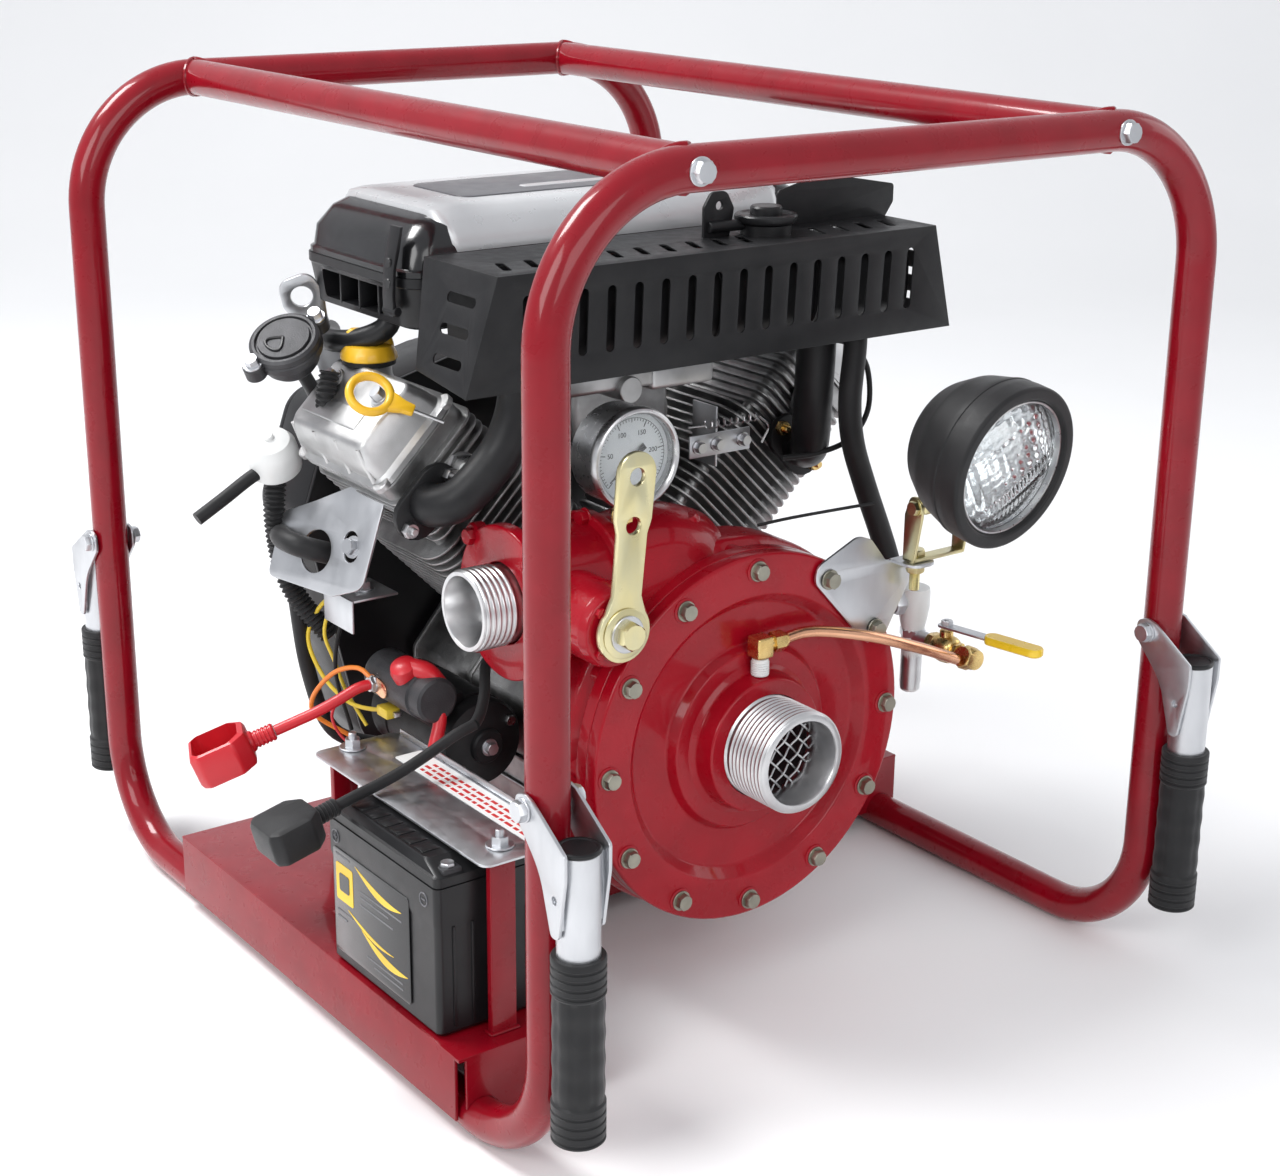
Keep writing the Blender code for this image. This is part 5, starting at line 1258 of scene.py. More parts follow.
# ---------------------------------------------------------------- air cleaner
def air_cleaner():
    """Air cleaner tray, lid and clip."""
    x0, x1, y0, y1 = -0.2050, 0.1750, -0.0480, 0.1150
    base = Build("black_plastic")
    tiers(base, [(0.5090, x0 + 0.012, y0 + 0.010, x1 - 0.010, y1 - 0.010, 0.018),
            (0.5120, x0 + 0.005, y0 + 0.005, x1 - 0.005, y1 - 0.005, 0.020),
            (0.5400, x0 + 0.001, y0 + 0.001, x1 - 0.001, y1 - 0.001, 0.020),
            (0.5412, x0, y0, x1, y1, 0.020), (0.5477, x0, y0, x1, y1, 0.020)])
    cut = Build("black_plastic")
    cut.box((x0 + 0.055, y0 + 0.014, 0.5170), (x1 - 0.012, y1 - 0.014, 0.560), 0.004)
    cut.box((x0 - 0.010, y0 + 0.032, 0.5165), (x0 + 0.046, y1 - 0.032, 0.5375), 0.003)
    base = carve(base, cut, "air_base")
    for y in (0.004, 0.032, 0.060):
        base.box((x0 + 0.004, y - 0.0012, 0.5150), (x0 + 0.020, y + 0.0012, 0.5385), 0.0004)
    rib_z = 0.5235
    base.pipe([(x0 + 0.030, y0 + 0.0030, rib_z), (x1 - 0.030, y0 + 0.0030, rib_z)], 0.0014, 8)
    wire(base, [(-0.1800, 0.0200, 0.5130), (-0.1860, 0.0230, 0.5000), (-0.1980, 0.0420, 0.4900),
            (-0.2050, 0.0700, 0.4860), (-0.1900, 0.1000, 0.4860)], 0.0085, None, 20)
    base.done("air_cleaner_tray", "frame", ["air_cleaner_base"], "black_plastic")

    cover = Build("black_gloss")
    shell = [(0.5480, x0 + 0.0010, y0 + 0.0010, x1 - 0.0010, y1 - 0.0010, 0.020),
            (0.5520, x0 + 0.0010, y0 + 0.0010, x1 - 0.0010, y1 - 0.0010, 0.020),
            (0.5535, x0 + 0.0040, y0 + 0.0030, x1 - 0.0040, y1 - 0.0030, 0.018),
            (0.5680, x0 + 0.0060, y0 + 0.0045, x1 - 0.0060, y1 - 0.0045, 0.018),
            (0.5820, x0 + 0.0170, y0 + 0.0100, x1 - 0.0140, y1 - 0.0100, 0.018),
            (0.5880, x0 + 0.0280, y0 + 0.0170, x1 - 0.0220, y1 - 0.0160, 0.018),
            (0.5895, x0 + 0.0400, y0 + 0.0240, x1 - 0.0300, y1 - 0.0220, 0.018)]
    tiers(cover, shell)
    silver = [(0.5640, -0.1700, y0 + 0.0035, 0.1350, y1 - 0.0035, 0.010),
            (0.5700, -0.1710, y0 + 0.0034, 0.1360, y1 - 0.0034, 0.010),
            (0.5850, -0.1750, y0 + 0.0100, 0.1380, y1 - 0.0090, 0.012),
            (0.5920, -0.1750, y0 + 0.0170, 0.1360, y1 - 0.0150, 0.014),
            (0.5940, -0.1700, y0 + 0.0220, 0.1330, y1 - 0.0190, 0.016),
            (0.5948, -0.1600, y0 + 0.0300, 0.1250, y1 - 0.0260, 0.016)]
    tiers(cover, silver, "silver_plastic")
    tiers(cover, [(0.5940, -0.1350, -0.0060, 0.0900, 0.0740, 0.012),
            (0.5956, -0.1340, -0.0050, 0.0890, 0.0730, 0.012), (0.5960, -0.1320, -0.0030, 0.0870, 0.0710,
            0.011)], "grey_plastic")
    tiers(cover, [(0.5955, -0.0700, 0.0110, 0.0500, 0.0230, 0.004),
            (0.5964, -0.0690, 0.0120, 0.0490, 0.0220, 0.004)], "silver_plastic")
    for y in (-0.012, 0.080):
        cover.box((x0 + 0.0300, y - 0.0040, 0.5840), (x0 + 0.0480, y + 0.0040, 0.5915), 0.0030, 3)
    cover.done("air_cleaner_lid", "frame", ["air_cleaner_cover"], "grey_plastic")
    dress("air_filter_element", "filter_paper")

    hinge = Vector((x0 - 0.0045, -0.0300, 0.5250))
    clip = Build("black_plastic")
    side = [(0, -0.0034), (0.0030, -0.0034), (0.0034, 0.0120), (0.0022, 0.0300), (-0.0004, 0.0420),
            (-0.0045, 0.0590), (-0.0068, 0.0590), (-0.0035, 0.0420), (-0.0004, 0.0300),
            (0.0008, 0.0120)]
    clip.plate(side, 0.0140, hinge, -X, Z, bevel=0.0004)
    clip.rod(hinge - Y * 0.0085, hinge + Y * 0.0085, 0.0034, steps=24)
    for z, half, shift in ((0.019, 0.0042, 0), (0.034, 0.0036, 0.001)):
        clip.rod(hinge + Vector((-0.0036 + shift, 0, z)), hinge + Vector((-0.0010 + shift, 0, z)), half,
                steps=24)
    clip.done("air_cleaner_clip", "latch", ["air_cleaner_latch"], "black_plastic")


# ---------------------------------------------------------------- engine
HEAD_R, CYL_SHIFT = 0.2995, 0.017


def bank(side, y_mid):
    """Matrix of a cylinder: Z out along its bore, Y towards the middle of the vee."""
    out = Vector((side, 0, 1)).normalized()
    inward = Vector((-side, 0, 1)).normalized()
    origin = Vector((0, y_mid, SHAFT_Z)) + inward * CYL_SHIFT
    rotation = Matrix((inward.cross(out), inward, out)).transposed()
    return Matrix.Translation(origin) @ rotation.to_4x4()


def cylinders():
    """Both cylinders with their fins, spark plugs and rocker covers."""
    for name, side, y_mid in (("left", -1, 0.012), ("right", 1, 0.030)):
        matrix = bank(side, y_mid)
        turn = matrix.to_3x3()
        jug = Build("cast_aluminium")
        jug.lathe([(0.0500, 0.1150), (0.0500, 0.1220), (0.0410, 0.1240), (0.0410, 0.2350)],
                matrix.translation, turn @ Z, 48)
        for k in range(-3, 14):
            low = 0.1260 + 0.0078 * k
            grow = 0.0 if k > 1 else -0.004
            jug.plate(rect(-0.0625 - grow, -0.0555 - grow, 0.0625 + grow, 0.0555 + grow, 0.024, 8),
                    0.0026, matrix @ Vector((0, 0, low)), turn @ X, turn @ Y, bevel=0.0010)
        tiers(jug, [(0.2350, -0.0560, -0.0390, 0.0560, 0.0420, 0.012),
                (HEAD_R - 0.0005, -0.0590, -0.0410, 0.0590, 0.0430, 0.010)], matrix=matrix)
        for k in range(7):
            low = 0.2390 + 0.0076 * k
            jug.plate(rect(-0.0640, -0.0430, 0.0640, 0.0470, 0.012, 6), 0.0026,
                    matrix @ Vector((0, 0, low)), turn @ X, turn @ Y, bevel=0.0010)
        for u in (-0.046, 0.046):
            for v in (-0.036, 0.036):
                jug.rod(matrix @ Vector((u, v, 0.120)), matrix @ Vector((u, v, 0.262)), 0.0052,
                        steps=20)
        # Spark plug with its cap, on the front of the head.
        seat = matrix @ Vector((0, 0.010, 0.2640))
        seat.y = y_mid - 0.0635
        aim = Vector((0.25 * side, -1, 0.10)).normalized()
        jug.hexagon(seat, aim, 0.0190, 0.0080, "steel", washer=0.0120)
        jug.lathe([(0.0050, 0.008), (0.0050, 0.014), (0.0046, 0.020), (0.0030, 0.021), (0.0030, 0.026),
                (0, 0.027)], seat, aim, 28, "white_plastic")
        jug.done(f"cylinder_{name}_finned", "frame", [f"cylinder_{name}"], "cast_aluminium")

        cover = Build("bright_casting")
        steps = ((0, 0.0620, 0.0430, 0.0430, 0.014), (0.0012, 0.0620, 0.0430, 0.0430, 0.014),
                (0.0014, 0.0608, 0.0418, 0.0418, 0.013), (0.0022, 0.0608, 0.0418, 0.0418, 0.013),
                (0.0024, 0.0620, 0.0430, 0.0430, 0.014), (0.0064, 0.0618, 0.0428, 0.0428, 0.014),
                (0.0072, 0.0600, 0.0410, 0.0410, 0.012), (0.0090, 0.0572, 0.0384, 0.0384, 0.010),
                (0.0200, 0.0556, 0.0370, 0.0362, 0.009), (0.0330, 0.0530, 0.0300, 0.0320, 0.008),
                (0.0352, 0.0510, 0.0270, 0.0300, 0.007), (0.0358, 0.0490, 0.0250, 0.0280, 0.006))
        tiers(cover, [(HEAD_R + h, -u, -v0, u, v1, r) for h, u, v0, v1, r in steps], matrix=matrix,
                steps=7)
        # Raised pad on the top, and stiffening ribs down the sloping side.
        top = HEAD_R + 0.0352
        cover.box((-0.0460, -0.0180, top - 0.0010), (0.0320, -0.0010, top + 0.0016), 0.0022, 3,
                matrix=matrix)
        for u in (-0.0510, -0.0170, 0.0170, 0.0510):
            start = matrix @ Vector((u, -0.0392, HEAD_R + 0.0075))
            end = matrix @ Vector((u * 0.95, -0.0290, HEAD_R + 0.0335))
            cover.pipe([start, end], 0.0018, 10)
        for u in (-0.0350, 0.0350):
            seat = matrix @ Vector((u, 0.0130, top - 0.0012))
            cover.rod(seat, seat + turn @ Z * 0.0030, 0.0095, steps=28, edge=0.0008)
            cover.hexagon(seat + turn @ Z * 0.0028, turn @ Z, 0.0100, 0.0056, "zinc_plate",
                    washer=0.0078, twist=0.4)
        for u, v in ((-0.0560, -0.0370), (0.0560, -0.0370), (-0.0560, 0.0370), (0.0560, 0.0370)):
            seat = matrix @ Vector((u, v, HEAD_R + 0.0062))
            cover.rod(seat - turn @ Z * 0.004, seat + turn @ Z * 0.0012, 0.0068, steps=24)
        if side < 0:
            neck = [(0.0215, 0.4520), (0.0190, 0.4600), (0.0172, 0.4640), (0.0168, 0.4700),
                    (0.0160, 0.4715), (0, 0.4715)]
            cover.lathe(neck, (-0.1900, 0.0400, 0), Z, 40)
        cover.done(f"rocker_cover_{name}", "frame", [f"valve_cover_{name}"], "cast_aluminium")


def filler_and_stick():
    """Oil filler cap and dipstick."""
    at = Vector((-0.1900, 0.0400, 0.4720))
    cap = Build("yellow_plastic")
    cap.lathe([(0, 0.0), (0.0196, 0), (0.0200, 0.0004), (0.0200, 0.0036), (0.0190, 0.0040)], at, Z, 56,
            "black_rubber")

    def scallop(turn, radius, height):
        """Shallow grip flutes round the skirt of the cap."""
        return radius - (0.0004 * max(0.0, math.cos(16 * turn)) if height < 0.0090 else 0.0)

    cap.lathe([(0.0150, 0.0036), (0.0208, 0.0038), (0.0214, 0.0046), (0.0210, 0.0080), (0.0196, 0.0108),
            (0.0176, 0.0142), (0.0120, 0.0156), (0, 0.0158)], at, Z, 64, wave=scallop)
    tiers(cap, [(0.0100, -0.0192, -0.0058, 0.0192, 0.0058, 0.005),
            (0.0150, -0.0186, -0.0040, 0.0186, 0.0040, 0.0038),
            (0.0240, -0.0160, -0.0036, 0.0160, 0.0036, 0.0034),
            (0.0264, -0.0130, -0.0028, 0.0130, 0.0028, 0.0026)],
            matrix=Matrix.Translation(at) @ Matrix.Rotation(math.radians(-25), 4, "Z"))
    cap.done("oil_filler_cap", "filler_cap", ["oil_cap"], "yellow_plastic")

    ring_at, tip = Vector((-0.2318, -0.0350, 0.4688)), Vector((-0.1900, -0.0660, 0.4487))
    along = (tip - ring_at).normalized()
    out = Vector((-1, 0, 1)).normalized()
    out = (out - along * out.dot(along)).normalized()
    across = out.cross(along)
    stick = Build("yellow_plastic")
    ring, count = 0.0146, 48
    turns = [math.tau * k / count for k in range(count + 1)]
    loop = [ring_at + along * ring * math.cos(turn) + across * ring * math.sin(turn) for turn in turns]
    stick.pipe(loop, 0.0033, 16, caps=False, side=out)
    neck = rounded([(0.0140, -0.0085), (0.0250, -0.0048), (0.0330, -0.0040), (0.0330, 0.0040),
            (0.0250, 0.0048), (0.0140, 0.0085)], 0.0015, 4, closed=True)
    stick.plate(neck, 0.0052, ring_at, along, across, bevel=0.0012)
    stick.rod(ring_at + along * 0.0300, tip, 0.0013, "steel", 16, edge=0.0003)
    stick.done("oil_dipstick", "dip", ["dipstick"], "yellow_plastic")


guard()
air_cleaner()
cylinders()
filler_and_stick()


# ---------------------------------------------------------------- engine body
def crankcase():
    """Crankcase with its flanges, side ribs, plug and oil filter."""
    near, far = -0.0670, 0.1195

    def flats(turn, radius, height):
        """Shallow flats round the end of the oil filter."""
        if 0.044 < height < 0.051:
            return radius - 0.0006 * max(0.0, math.cos(15 * turn))
        return radius

    case = Build("cast_aluminium")
    outline = rounded([(-0.1120, 0.1000), (-0.0960, 0.0650), (0.0960, 0.0650), (0.1120, 0.1000),
            (0.1130, 0.2100), (0.0380, 0.2990), (-0.0380, 0.2990), (-0.1130, 0.2100)], 0.012, 5,
            closed=True)
    case.plate(outline, far - near, (0, (near + far) / 2, 0), X, Z, bevel=0.003)
    bore = Build("cast_aluminium")
    bore.rod((0, near - 0.01, SHAFT_Z), (0, far + 0.01, SHAFT_Z), 0.0300, steps=40, edge=0)
    case = carve(case, bore, "crankcase_bore")
    for y in (near + 0.004, far - 0.004, 0.030):
        case.plate([(u * 1.012, v * 1.002) for u, v in outline], 0.005, (0, y, 0), X, Z,
                holes=[circle(0, SHAFT_Z, 0.031, 40)], bevel=0.0010)
    for side in (-1, 1):
        for z in (0.095, 0.118, 0.141, 0.164):
            case.box((side * 0.1135 - 0.002, near + 0.006, z), (side * 0.1135 + 0.002, far - 0.006,
                    z + 0.003), 0.001)
        for y in (near + 0.012, 0.020, far - 0.012):
            case.hexagon((side * 0.1110, y, 0.082), X * side, 0.0100, 0.006, "zinc_plate", washer=0.007)
    case.lathe([(0.0165, 0), (0.0175, 0.003), (0.0165, 0.012), (0, 0.012)], (0.112, 0.050, 0.185), X, 40,
            "black_plastic")
    case.lathe([(0.0330, 0), (0.0330, 0.044), (0.0320, 0.050), (0.0280, 0.052), (0.0240, 0.049),
            (0, 0.049)], (0.112, -0.012, 0.150), X, 56, "grey_casting", wave=flats)
    case.done("crankcase_cast", "frame", ["crankcase"], "cast_aluminium")


def blower():
    """Cowl over the fan: front plate, deep wall, rear plate with the intake grille."""
    shape = rounded([(-0.125, -0.128), (0.125, -0.128), (0.160, -0.060), (0.205, 0.130), (0.175, 0.215),
            (0.060, 0.245), (-0.060, 0.245), (-0.175, 0.215), (-0.205, 0.130), (-0.160, -0.060)], 0.030,
            7, closed=True)
    outline = [(u, v + SHAFT_Z) for u, v in shape]
    shell = Build("black_plastic")
    hub = circle(0, SHAFT_Z, 0.0400, 48)
    shell.plate(outline, 0.0040, (0, 0.1275, 0), X, Z, holes=[hub], bevel=0.0010)
    shell.plate(outline, 0.0660, (0, 0.1625, 0), X, Z, holes=[circle(0, SHAFT_Z, 0.1220, 96)],
            bevel=0.0016)
    shell.plate([(u * 0.985, SHAFT_Z + (v - SHAFT_Z) * 0.985) for u, v in outline], 0.0150,
            (0, 0.2030, 0), X, Z, holes=[circle(0, SHAFT_Z, 0.0900, 96)], bevel=0.0050)
    for radius in (0.0200, 0.0330, 0.0460, 0.0590, 0.0720, 0.0850):
        shell.lathe([(radius - 0.0012, 0), (radius + 0.0012, 0), (radius + 0.0012, 0.0030),
                (radius - 0.0012, 0.0030)], (0, 0.2050, SHAFT_Z), Y, 72, closed=True)
    for k in range(12):
        turn = Vector((math.cos(math.tau * k / 12), 0, math.sin(math.tau * k / 12)))
        centre = Vector((0, 0.2065, SHAFT_Z))
        shell.rod(centre + turn * 0.018, centre + turn * 0.0925, 0.0016, steps=10, edge=0)
    shell.lathe([(0, 0), (0.0215, 0), (0.0215, 0.0030), (0.0190, 0.0042), (0, 0.0042)],
            (0, 0.2048, SHAFT_Z), Y, 48)
    shell.lathe([(0.0920, 0), (0.0980, 0), (0.0975, 0.0022), (0.0925, 0.0022)], (0, 0.2095, SHAFT_Z), Y,
            96, closed=True)
    for u, v in ((-0.105, -0.100), (0.105, -0.100), (0.165, 0.150), (-0.165, 0.150), (0.0, 0.222),
            (-0.150, 0.02), (0.150, 0.02)):
        shell.hexagon((u, 0.2098, SHAFT_Z + v), Y, 0.0100, 0.0050, "zinc_plate", washer=0.0075)
    for u in (-0.12, -0.10, -0.08, 0.08, 0.10, 0.12):
        shell.box((u - 0.002, 0.2090, SHAFT_Z + 0.140), (u + 0.002, 0.2112, SHAFT_Z + 0.205), 0.0008)
    shell.done("blower_cowl", "frame", ["blower_housing"], "black_plastic")


def starter():
    """Starter motor, solenoid, terminal, capped cable, and the fixed run of the black cable."""
    at = Vector((-0.1535, 0, 0.1900))
    motor = Build("black_steel")
    motor.lathe([(0, -0.0615), (0.0120, -0.0615), (0.0135, -0.0600), (0.0140, -0.0570),
            (0.0250, -0.0560), (0.0330, -0.0530), (0.0352, -0.0490), (0.0352, -0.0410),
            (0.0342, -0.0405), (0.0342, -0.0380), (0.0358, -0.0375), (0.0358, 0.0300), (0.0340, 0.0310),
            (0.0340, 0.0330), (0.0355, 0.0340), (0.0350, 0.0560), (0.0300, 0.0630), (0, 0.0640)], at, Y,
            64)
    motor.hexagon(at - Y * 0.0612, -Y, 0.0090, 0.0050, "zinc_plate", washer=0.0068)
    for a in (35, 215):
        off = Vector((math.cos(math.radians(a)), 0, math.sin(math.radians(a)))) * 0.0270
        motor.hexagon(at + off - Y * 0.0548, -Y, 0.0075, 0.0040, "steel")
    coil = Vector((-0.1960, 0, 0.2360))
    motor.lathe([(0, -0.0590), (0.0150, -0.0590), (0.0172, -0.0575), (0.0176, -0.0440),
            (0.0190, -0.0430), (0.0190, 0.0170), (0.0180, 0.0195), (0, 0.0200)], coil, Y, 48,
            "grey_casting")
    motor.box((-0.1900, -0.0400, 0.2050), (-0.1600, 0.0150, 0.2300), 0.004)
    stud = Vector((-0.2150, 0.0, 0.2360))
    motor.rod(stud + X * 0.006, stud - X * 0.0065, 0.0034, "copper", 20)
    motor.hexagon(stud + X * 0.0030, -X, 0.0120, 0.0046, "zinc_plate", washer=0.0078)
    motor.hexagon(stud - X * 0.0022, -X, 0.0110, 0.0040, "zinc_plate", twist=0.35)
    motor.plate(slot_loop(-0.004, -0.001, 0.026, 0.013, math.radians(10)), 0.0016, stud - X * 0.0004, Y,
            Z, mat="copper")
    motor.lathe([(0.0105, -0.002), (0.0112, 0.006), (0.0098, 0.0105), (0.0060, 0.0128), (0, 0.0134)],
            (-0.2050, -0.0300, 0.2500), Vector((-0.45, -0.2, 0.87)), 40, "red_rubber")
    wire(motor, [(-0.2040, -0.0320, 0.2560), (-0.1960, -0.0440, 0.2540), (-0.1900, -0.0500, 0.2440)],
            0.0078, "red_rubber", 24)
    wire(motor, [(-0.1930, -0.0475, 0.2500), (-0.1890, -0.0500, 0.2380), (-0.1930, -0.0560, 0.2180),
            (-0.2010, -0.0600, 0.1980), (-0.1990, -0.0560, 0.1780), (-0.1960, -0.0480, 0.1600),
            (-0.1930, -0.0380, 0.1380)], 0.0050, "red_rubber", 24)
    wire(motor, [(-0.1900, -0.1000, 0.2300), (-0.1800, -0.0920, 0.2340), (-0.1660, -0.0760, 0.2420),
            (-0.1480, -0.0500, 0.2520), (-0.1200, -0.0250, 0.2560), (-0.0880, -0.0180, 0.2500)], 0.0042,
            "black_rubber", 24)
    motor.done("starter_with_solenoid", "frame", ["starter_motor"], "black_steel")


def fuel_side():
    """Fuel pump, lifting eye, brackets, linkage, hoses, wiring, and the carburettor in the vee."""
    hub, aim = Vector((-0.2470, 0.0600, 0.4880)), Vector((-0.45, -0.35, 0.82)).normalized()
    across = aim.cross(Y).normalized()
    pump = Build("grey_casting")
    pump.lathe([(0, -0.0190), (0.0180, -0.0190), (0.0210, -0.0150), (0.0215, -0.0060), (0.0262, -0.0050),
            (0.0268, -0.0030), (0.0268, 0.0012), (0.0258, 0.0022), (0.0258, 0.0030), (0.0266, 0.0038),
            (0.0262, 0.0072), (0.0240, 0.0086), (0.0220, 0.0086), (0.0212, 0.0066), (0.0200, 0.0066),
            (0.0194, 0.0090), (0, 0.0094)], hub, aim, 64)
    spin = aim.cross(across)
    swirl = []
    for k in range(25):
        t = math.pi * k / 24 - math.pi / 2
        sway, nod = 0.0135 * math.cos(t), 0.0075 * math.sin(2 * t)
        swirl.append(hub + aim * 0.0094 + across * sway + spin * nod)
    pump.pipe(swirl, 0.0012, 8, "black_plastic")
    for s in (-1, 1):
        ear = hub + across * 0.0300 * s
        pump.rod(ear - aim * 0.0060, ear + aim * 0.0050, 0.0080, steps=28)
        pump.hexagon(ear + aim * 0.0050, aim, 0.0095, 0.0055, "zinc_plate", washer=0.0072)
    pump.done("fuel_pump_disc", "frame", ["fuel_pump"], "black_plastic")

    bits = Build("zinc_plate")
    eye = rounded([(-0.013, -0.030), (0.013, -0.030), (0.011, 0.020), (0.0165, 0.040), (0.0130, 0.060),
            (-0.0130, 0.060), (-0.0165, 0.040), (-0.011, 0.020)],
            [0.003, 0.003, 0.01, 0.008, 0.010, 0.010, 0.008, 0.01], 8, closed=True)
    tilt = Vector((-0.42, 0.0, 0.91)).normalized()
    bits.plate(eye, 0.0032, (-0.1930, 0.1020, 0.4750), Vector((0.80, -0.52, 0.37)).normalized(), tilt,
            holes=[circle(0, 0.0435, 0.0082, 32)], bevel=0.0006)
    facing = Vector((-0.92, -0.20, 0.34)).normalized()
    run = Vector((0.20, -0.98, 0)).normalized()
    up = run.cross(facing).normalized()
    corner = Vector((-0.2180, 0.0000, 0.3580))
    panel = rounded([(-0.0950, 0.0560), (-0.0200, 0.0560), (0.0100, 0.0440), (0.0120, -0.0260),
            (-0.0060, -0.0380), (-0.0600, -0.0100), (-0.0950, 0.0060)],
            [0.006, 0.02, 0.012, 0.008, 0.010, 0.03, 0.008], 6, closed=True)
    window = Vector((-0.0480, 0.0270))
    slot = Vector((-0.0120, 0.0160))
    openings = [circle(window.x, window.y, 0.0165, 40), slot_loop(slot.x, slot.y, 0.0240, 0.0150,
            math.radians(70))]
    bits.plate(panel, 0.0022, corner, run, up, holes=openings, bevel=0.0005)
    seat = corner + run * slot.x + up * slot.y
    bits.hexagon(seat - facing * 0.002, facing, 0.0110, 0.0060, "zinc_plate", washer=0.0085)
    passage = corner + run * window.x + up * window.y
    bits.box((-0.2080, 0.0060, 0.2880), (-0.1700, 0.0500, 0.2900), 0.0006,
            matrix=Matrix.Translation((-0.020, 0, 0.012)))
    bits.box((-0.2300, 0.0060, 0.2760), (-0.2280, 0.0500, 0.3020), 0.0006)
    bits.hexagon((-0.2080, 0.0280, 0.3020), Z, 0.0110, 0.0050, "zinc_plate", washer=0.0085)
    bits.box((-0.0950, -0.0800, 0.4550), (-0.0150, -0.0480, 0.4760), 0.0040, 3, mat="bright_casting")
    bits.box((-0.0150, -0.0760, 0.4500), (0.0450, -0.0480, 0.4680), 0.0040, 3, mat="bright_casting")
    bits.rod((-0.0400, -0.0850, 0.4560), (-0.0400, -0.0500, 0.4560), 0.0100, "bright_casting", 32)
    bits.box((0.0560, -0.0650, 0.3780), (0.0580, -0.0350, 0.4260), 0.0004, mat="zinc_plate")
    bits.box((0.0300, -0.0660, 0.3880), (0.0900, -0.0640, 0.4060), 0.0008, mat="zinc_plate")
    for x in (0.0380, 0.0560, 0.0820):
        bits.hexagon((x, -0.0660, 0.3970), -Y, 0.0080, 0.0050, "zinc_plate", washer=0.0058)
    coil = [Vector((0.0400 + 0.0009 * k, -0.0720 + 0.0030 * math.sin(k * 0.9),
            0.4150 + 0.0030 * math.cos(k * 0.9))) for k in range(60)]
    bits.pipe(coil, 0.0006, 6, "steel")
    wire(bits, [(0.0250, -0.0700, 0.4150), (0.0400, -0.0720, 0.4150)], 0.0010, "steel")
    wire(bits, [(0.0931, -0.0720, 0.4150), (0.1050, -0.0700, 0.4050), (0.1000, -0.0680, 0.3920)], 0.0010,
            "steel")
    bits.done("brackets_and_linkage", "frame", [], "zinc_plate")

    hoses = Build("black_rubber")
    wire(hoses, [(-0.2330, 0.0700, 0.4700), (-0.2150, 0.0880, 0.4500), (-0.2000, 0.0980, 0.4300),
            (-0.1800, 0.1000, 0.4100)], 0.0055, None, 20)
    wire(hoses, [passage - facing * 0.040, passage - facing * 0.012,
            passage + facing * 0.010 + Y * 0.010, passage + facing * 0.014 + Y * 0.030,
            passage + facing * 0.006 + Y * 0.050], 0.0085, None, 24)
    ribbed = catmull([(-0.2400, 0.1000, 0.3820), (-0.2440, 0.0980, 0.3500), (-0.2400, 0.0960, 0.3100),
            (-0.2300, 0.0900, 0.2800), (-0.2100, 0.0800, 0.2500)], 0.0008)
    hoses.pipe(ribbed, lambda run: 0.0078 + 0.0010 * math.sin(run / 0.0040 * math.tau), 24)
    ribbed = catmull([(-0.2230, 0.0400, 0.4700), (-0.2280, 0.0380, 0.4500), (-0.2200, 0.0500, 0.4250),
            (-0.2050, 0.0700, 0.4050)], 0.0008)
    hoses.pipe(ribbed, lambda run: 0.0070 + 0.0009 * math.sin(run / 0.0036 * math.tau), 24)
    tip = catmull([(-0.2450, 0.1000, 0.3860), (-0.2600, 0.1000, 0.3820), (-0.2850, 0.1000, 0.3680),
            (-0.3070, 0.1000, 0.3560)], 0.003)
    hoses.pipe(tip, 0.0052, 24)
    filter_at, filter_aim = (-0.2425, 0.1000, 0.3980), Vector((-0.35, -0.35, 0.87))
    hoses.lathe([(0.0200, -0.0150), (0.0205, -0.0100), (0.0200, 0.0000), (0.0192, 0.0070),
            (0.0155, 0.0125), (0.0085, 0.0152), (0, 0.0158)], filter_at, filter_aim, 48,
            "white_plastic")
    hoses.lathe([(0.0040, 0.0140), (0.0040, 0.0176), (0.0032, 0.0184), (0, 0.0184)], filter_at,
            filter_aim, 24, "white_plastic")
    wire(hoses, [(-0.2320, 0.0950, 0.2900), (-0.2250, 0.0900, 0.2200), (-0.2100, 0.0800, 0.1700),
            (-0.1700, 0.0700, 0.1500)], 0.0060, None, 20)
    hoses.done("engine_hoses", "frame", [], "black_rubber")

    loom = Build("wire_yellow")
    wire(loom, [(-0.2050, 0.0600, 0.2900), (-0.2180, 0.0760, 0.2780), (-0.2260, 0.0860, 0.2500),
            (-0.2200, 0.0760, 0.2200), (-0.2120, 0.0500, 0.2040), (-0.2060, 0.0200, 0.2060),
            (-0.2060, 0.0040, 0.2130)], 0.0017, "wire_yellow")
    wire(loom, [(-0.2050, 0.0560, 0.2860), (-0.2160, 0.0660, 0.2760), (-0.2200, 0.0700, 0.2560),
            (-0.2160, 0.0640, 0.2360), (-0.2100, 0.0560, 0.2100), (-0.2020, 0.0400, 0.1850)], 0.0015,
            "wire_yellow")
    wire(loom, [(-0.2150, -0.0020, 0.2340), (-0.2200, 0.0160, 0.2440), (-0.2280, 0.0420, 0.2340),
            (-0.2360, 0.0620, 0.2100), (-0.2300, 0.0700, 0.1900), (-0.2050, 0.0600, 0.1700)], 0.0019,
            "wire_orange")
    wire(loom, [(-0.2150, 0.0020, 0.2330), (-0.2260, 0.0280, 0.2200), (-0.2300, 0.0440, 0.1980),
            (-0.2200, 0.0400, 0.1760), (-0.2050, 0.0200, 0.1700)], 0.0012, "wire_red")
    wire(loom, [(-0.2000, 0.0400, 0.3000), (-0.2150, 0.0500, 0.2700), (-0.2200, 0.0540, 0.2300),
            (-0.2100, 0.0500, 0.1800)], 0.0017, "black_rubber")
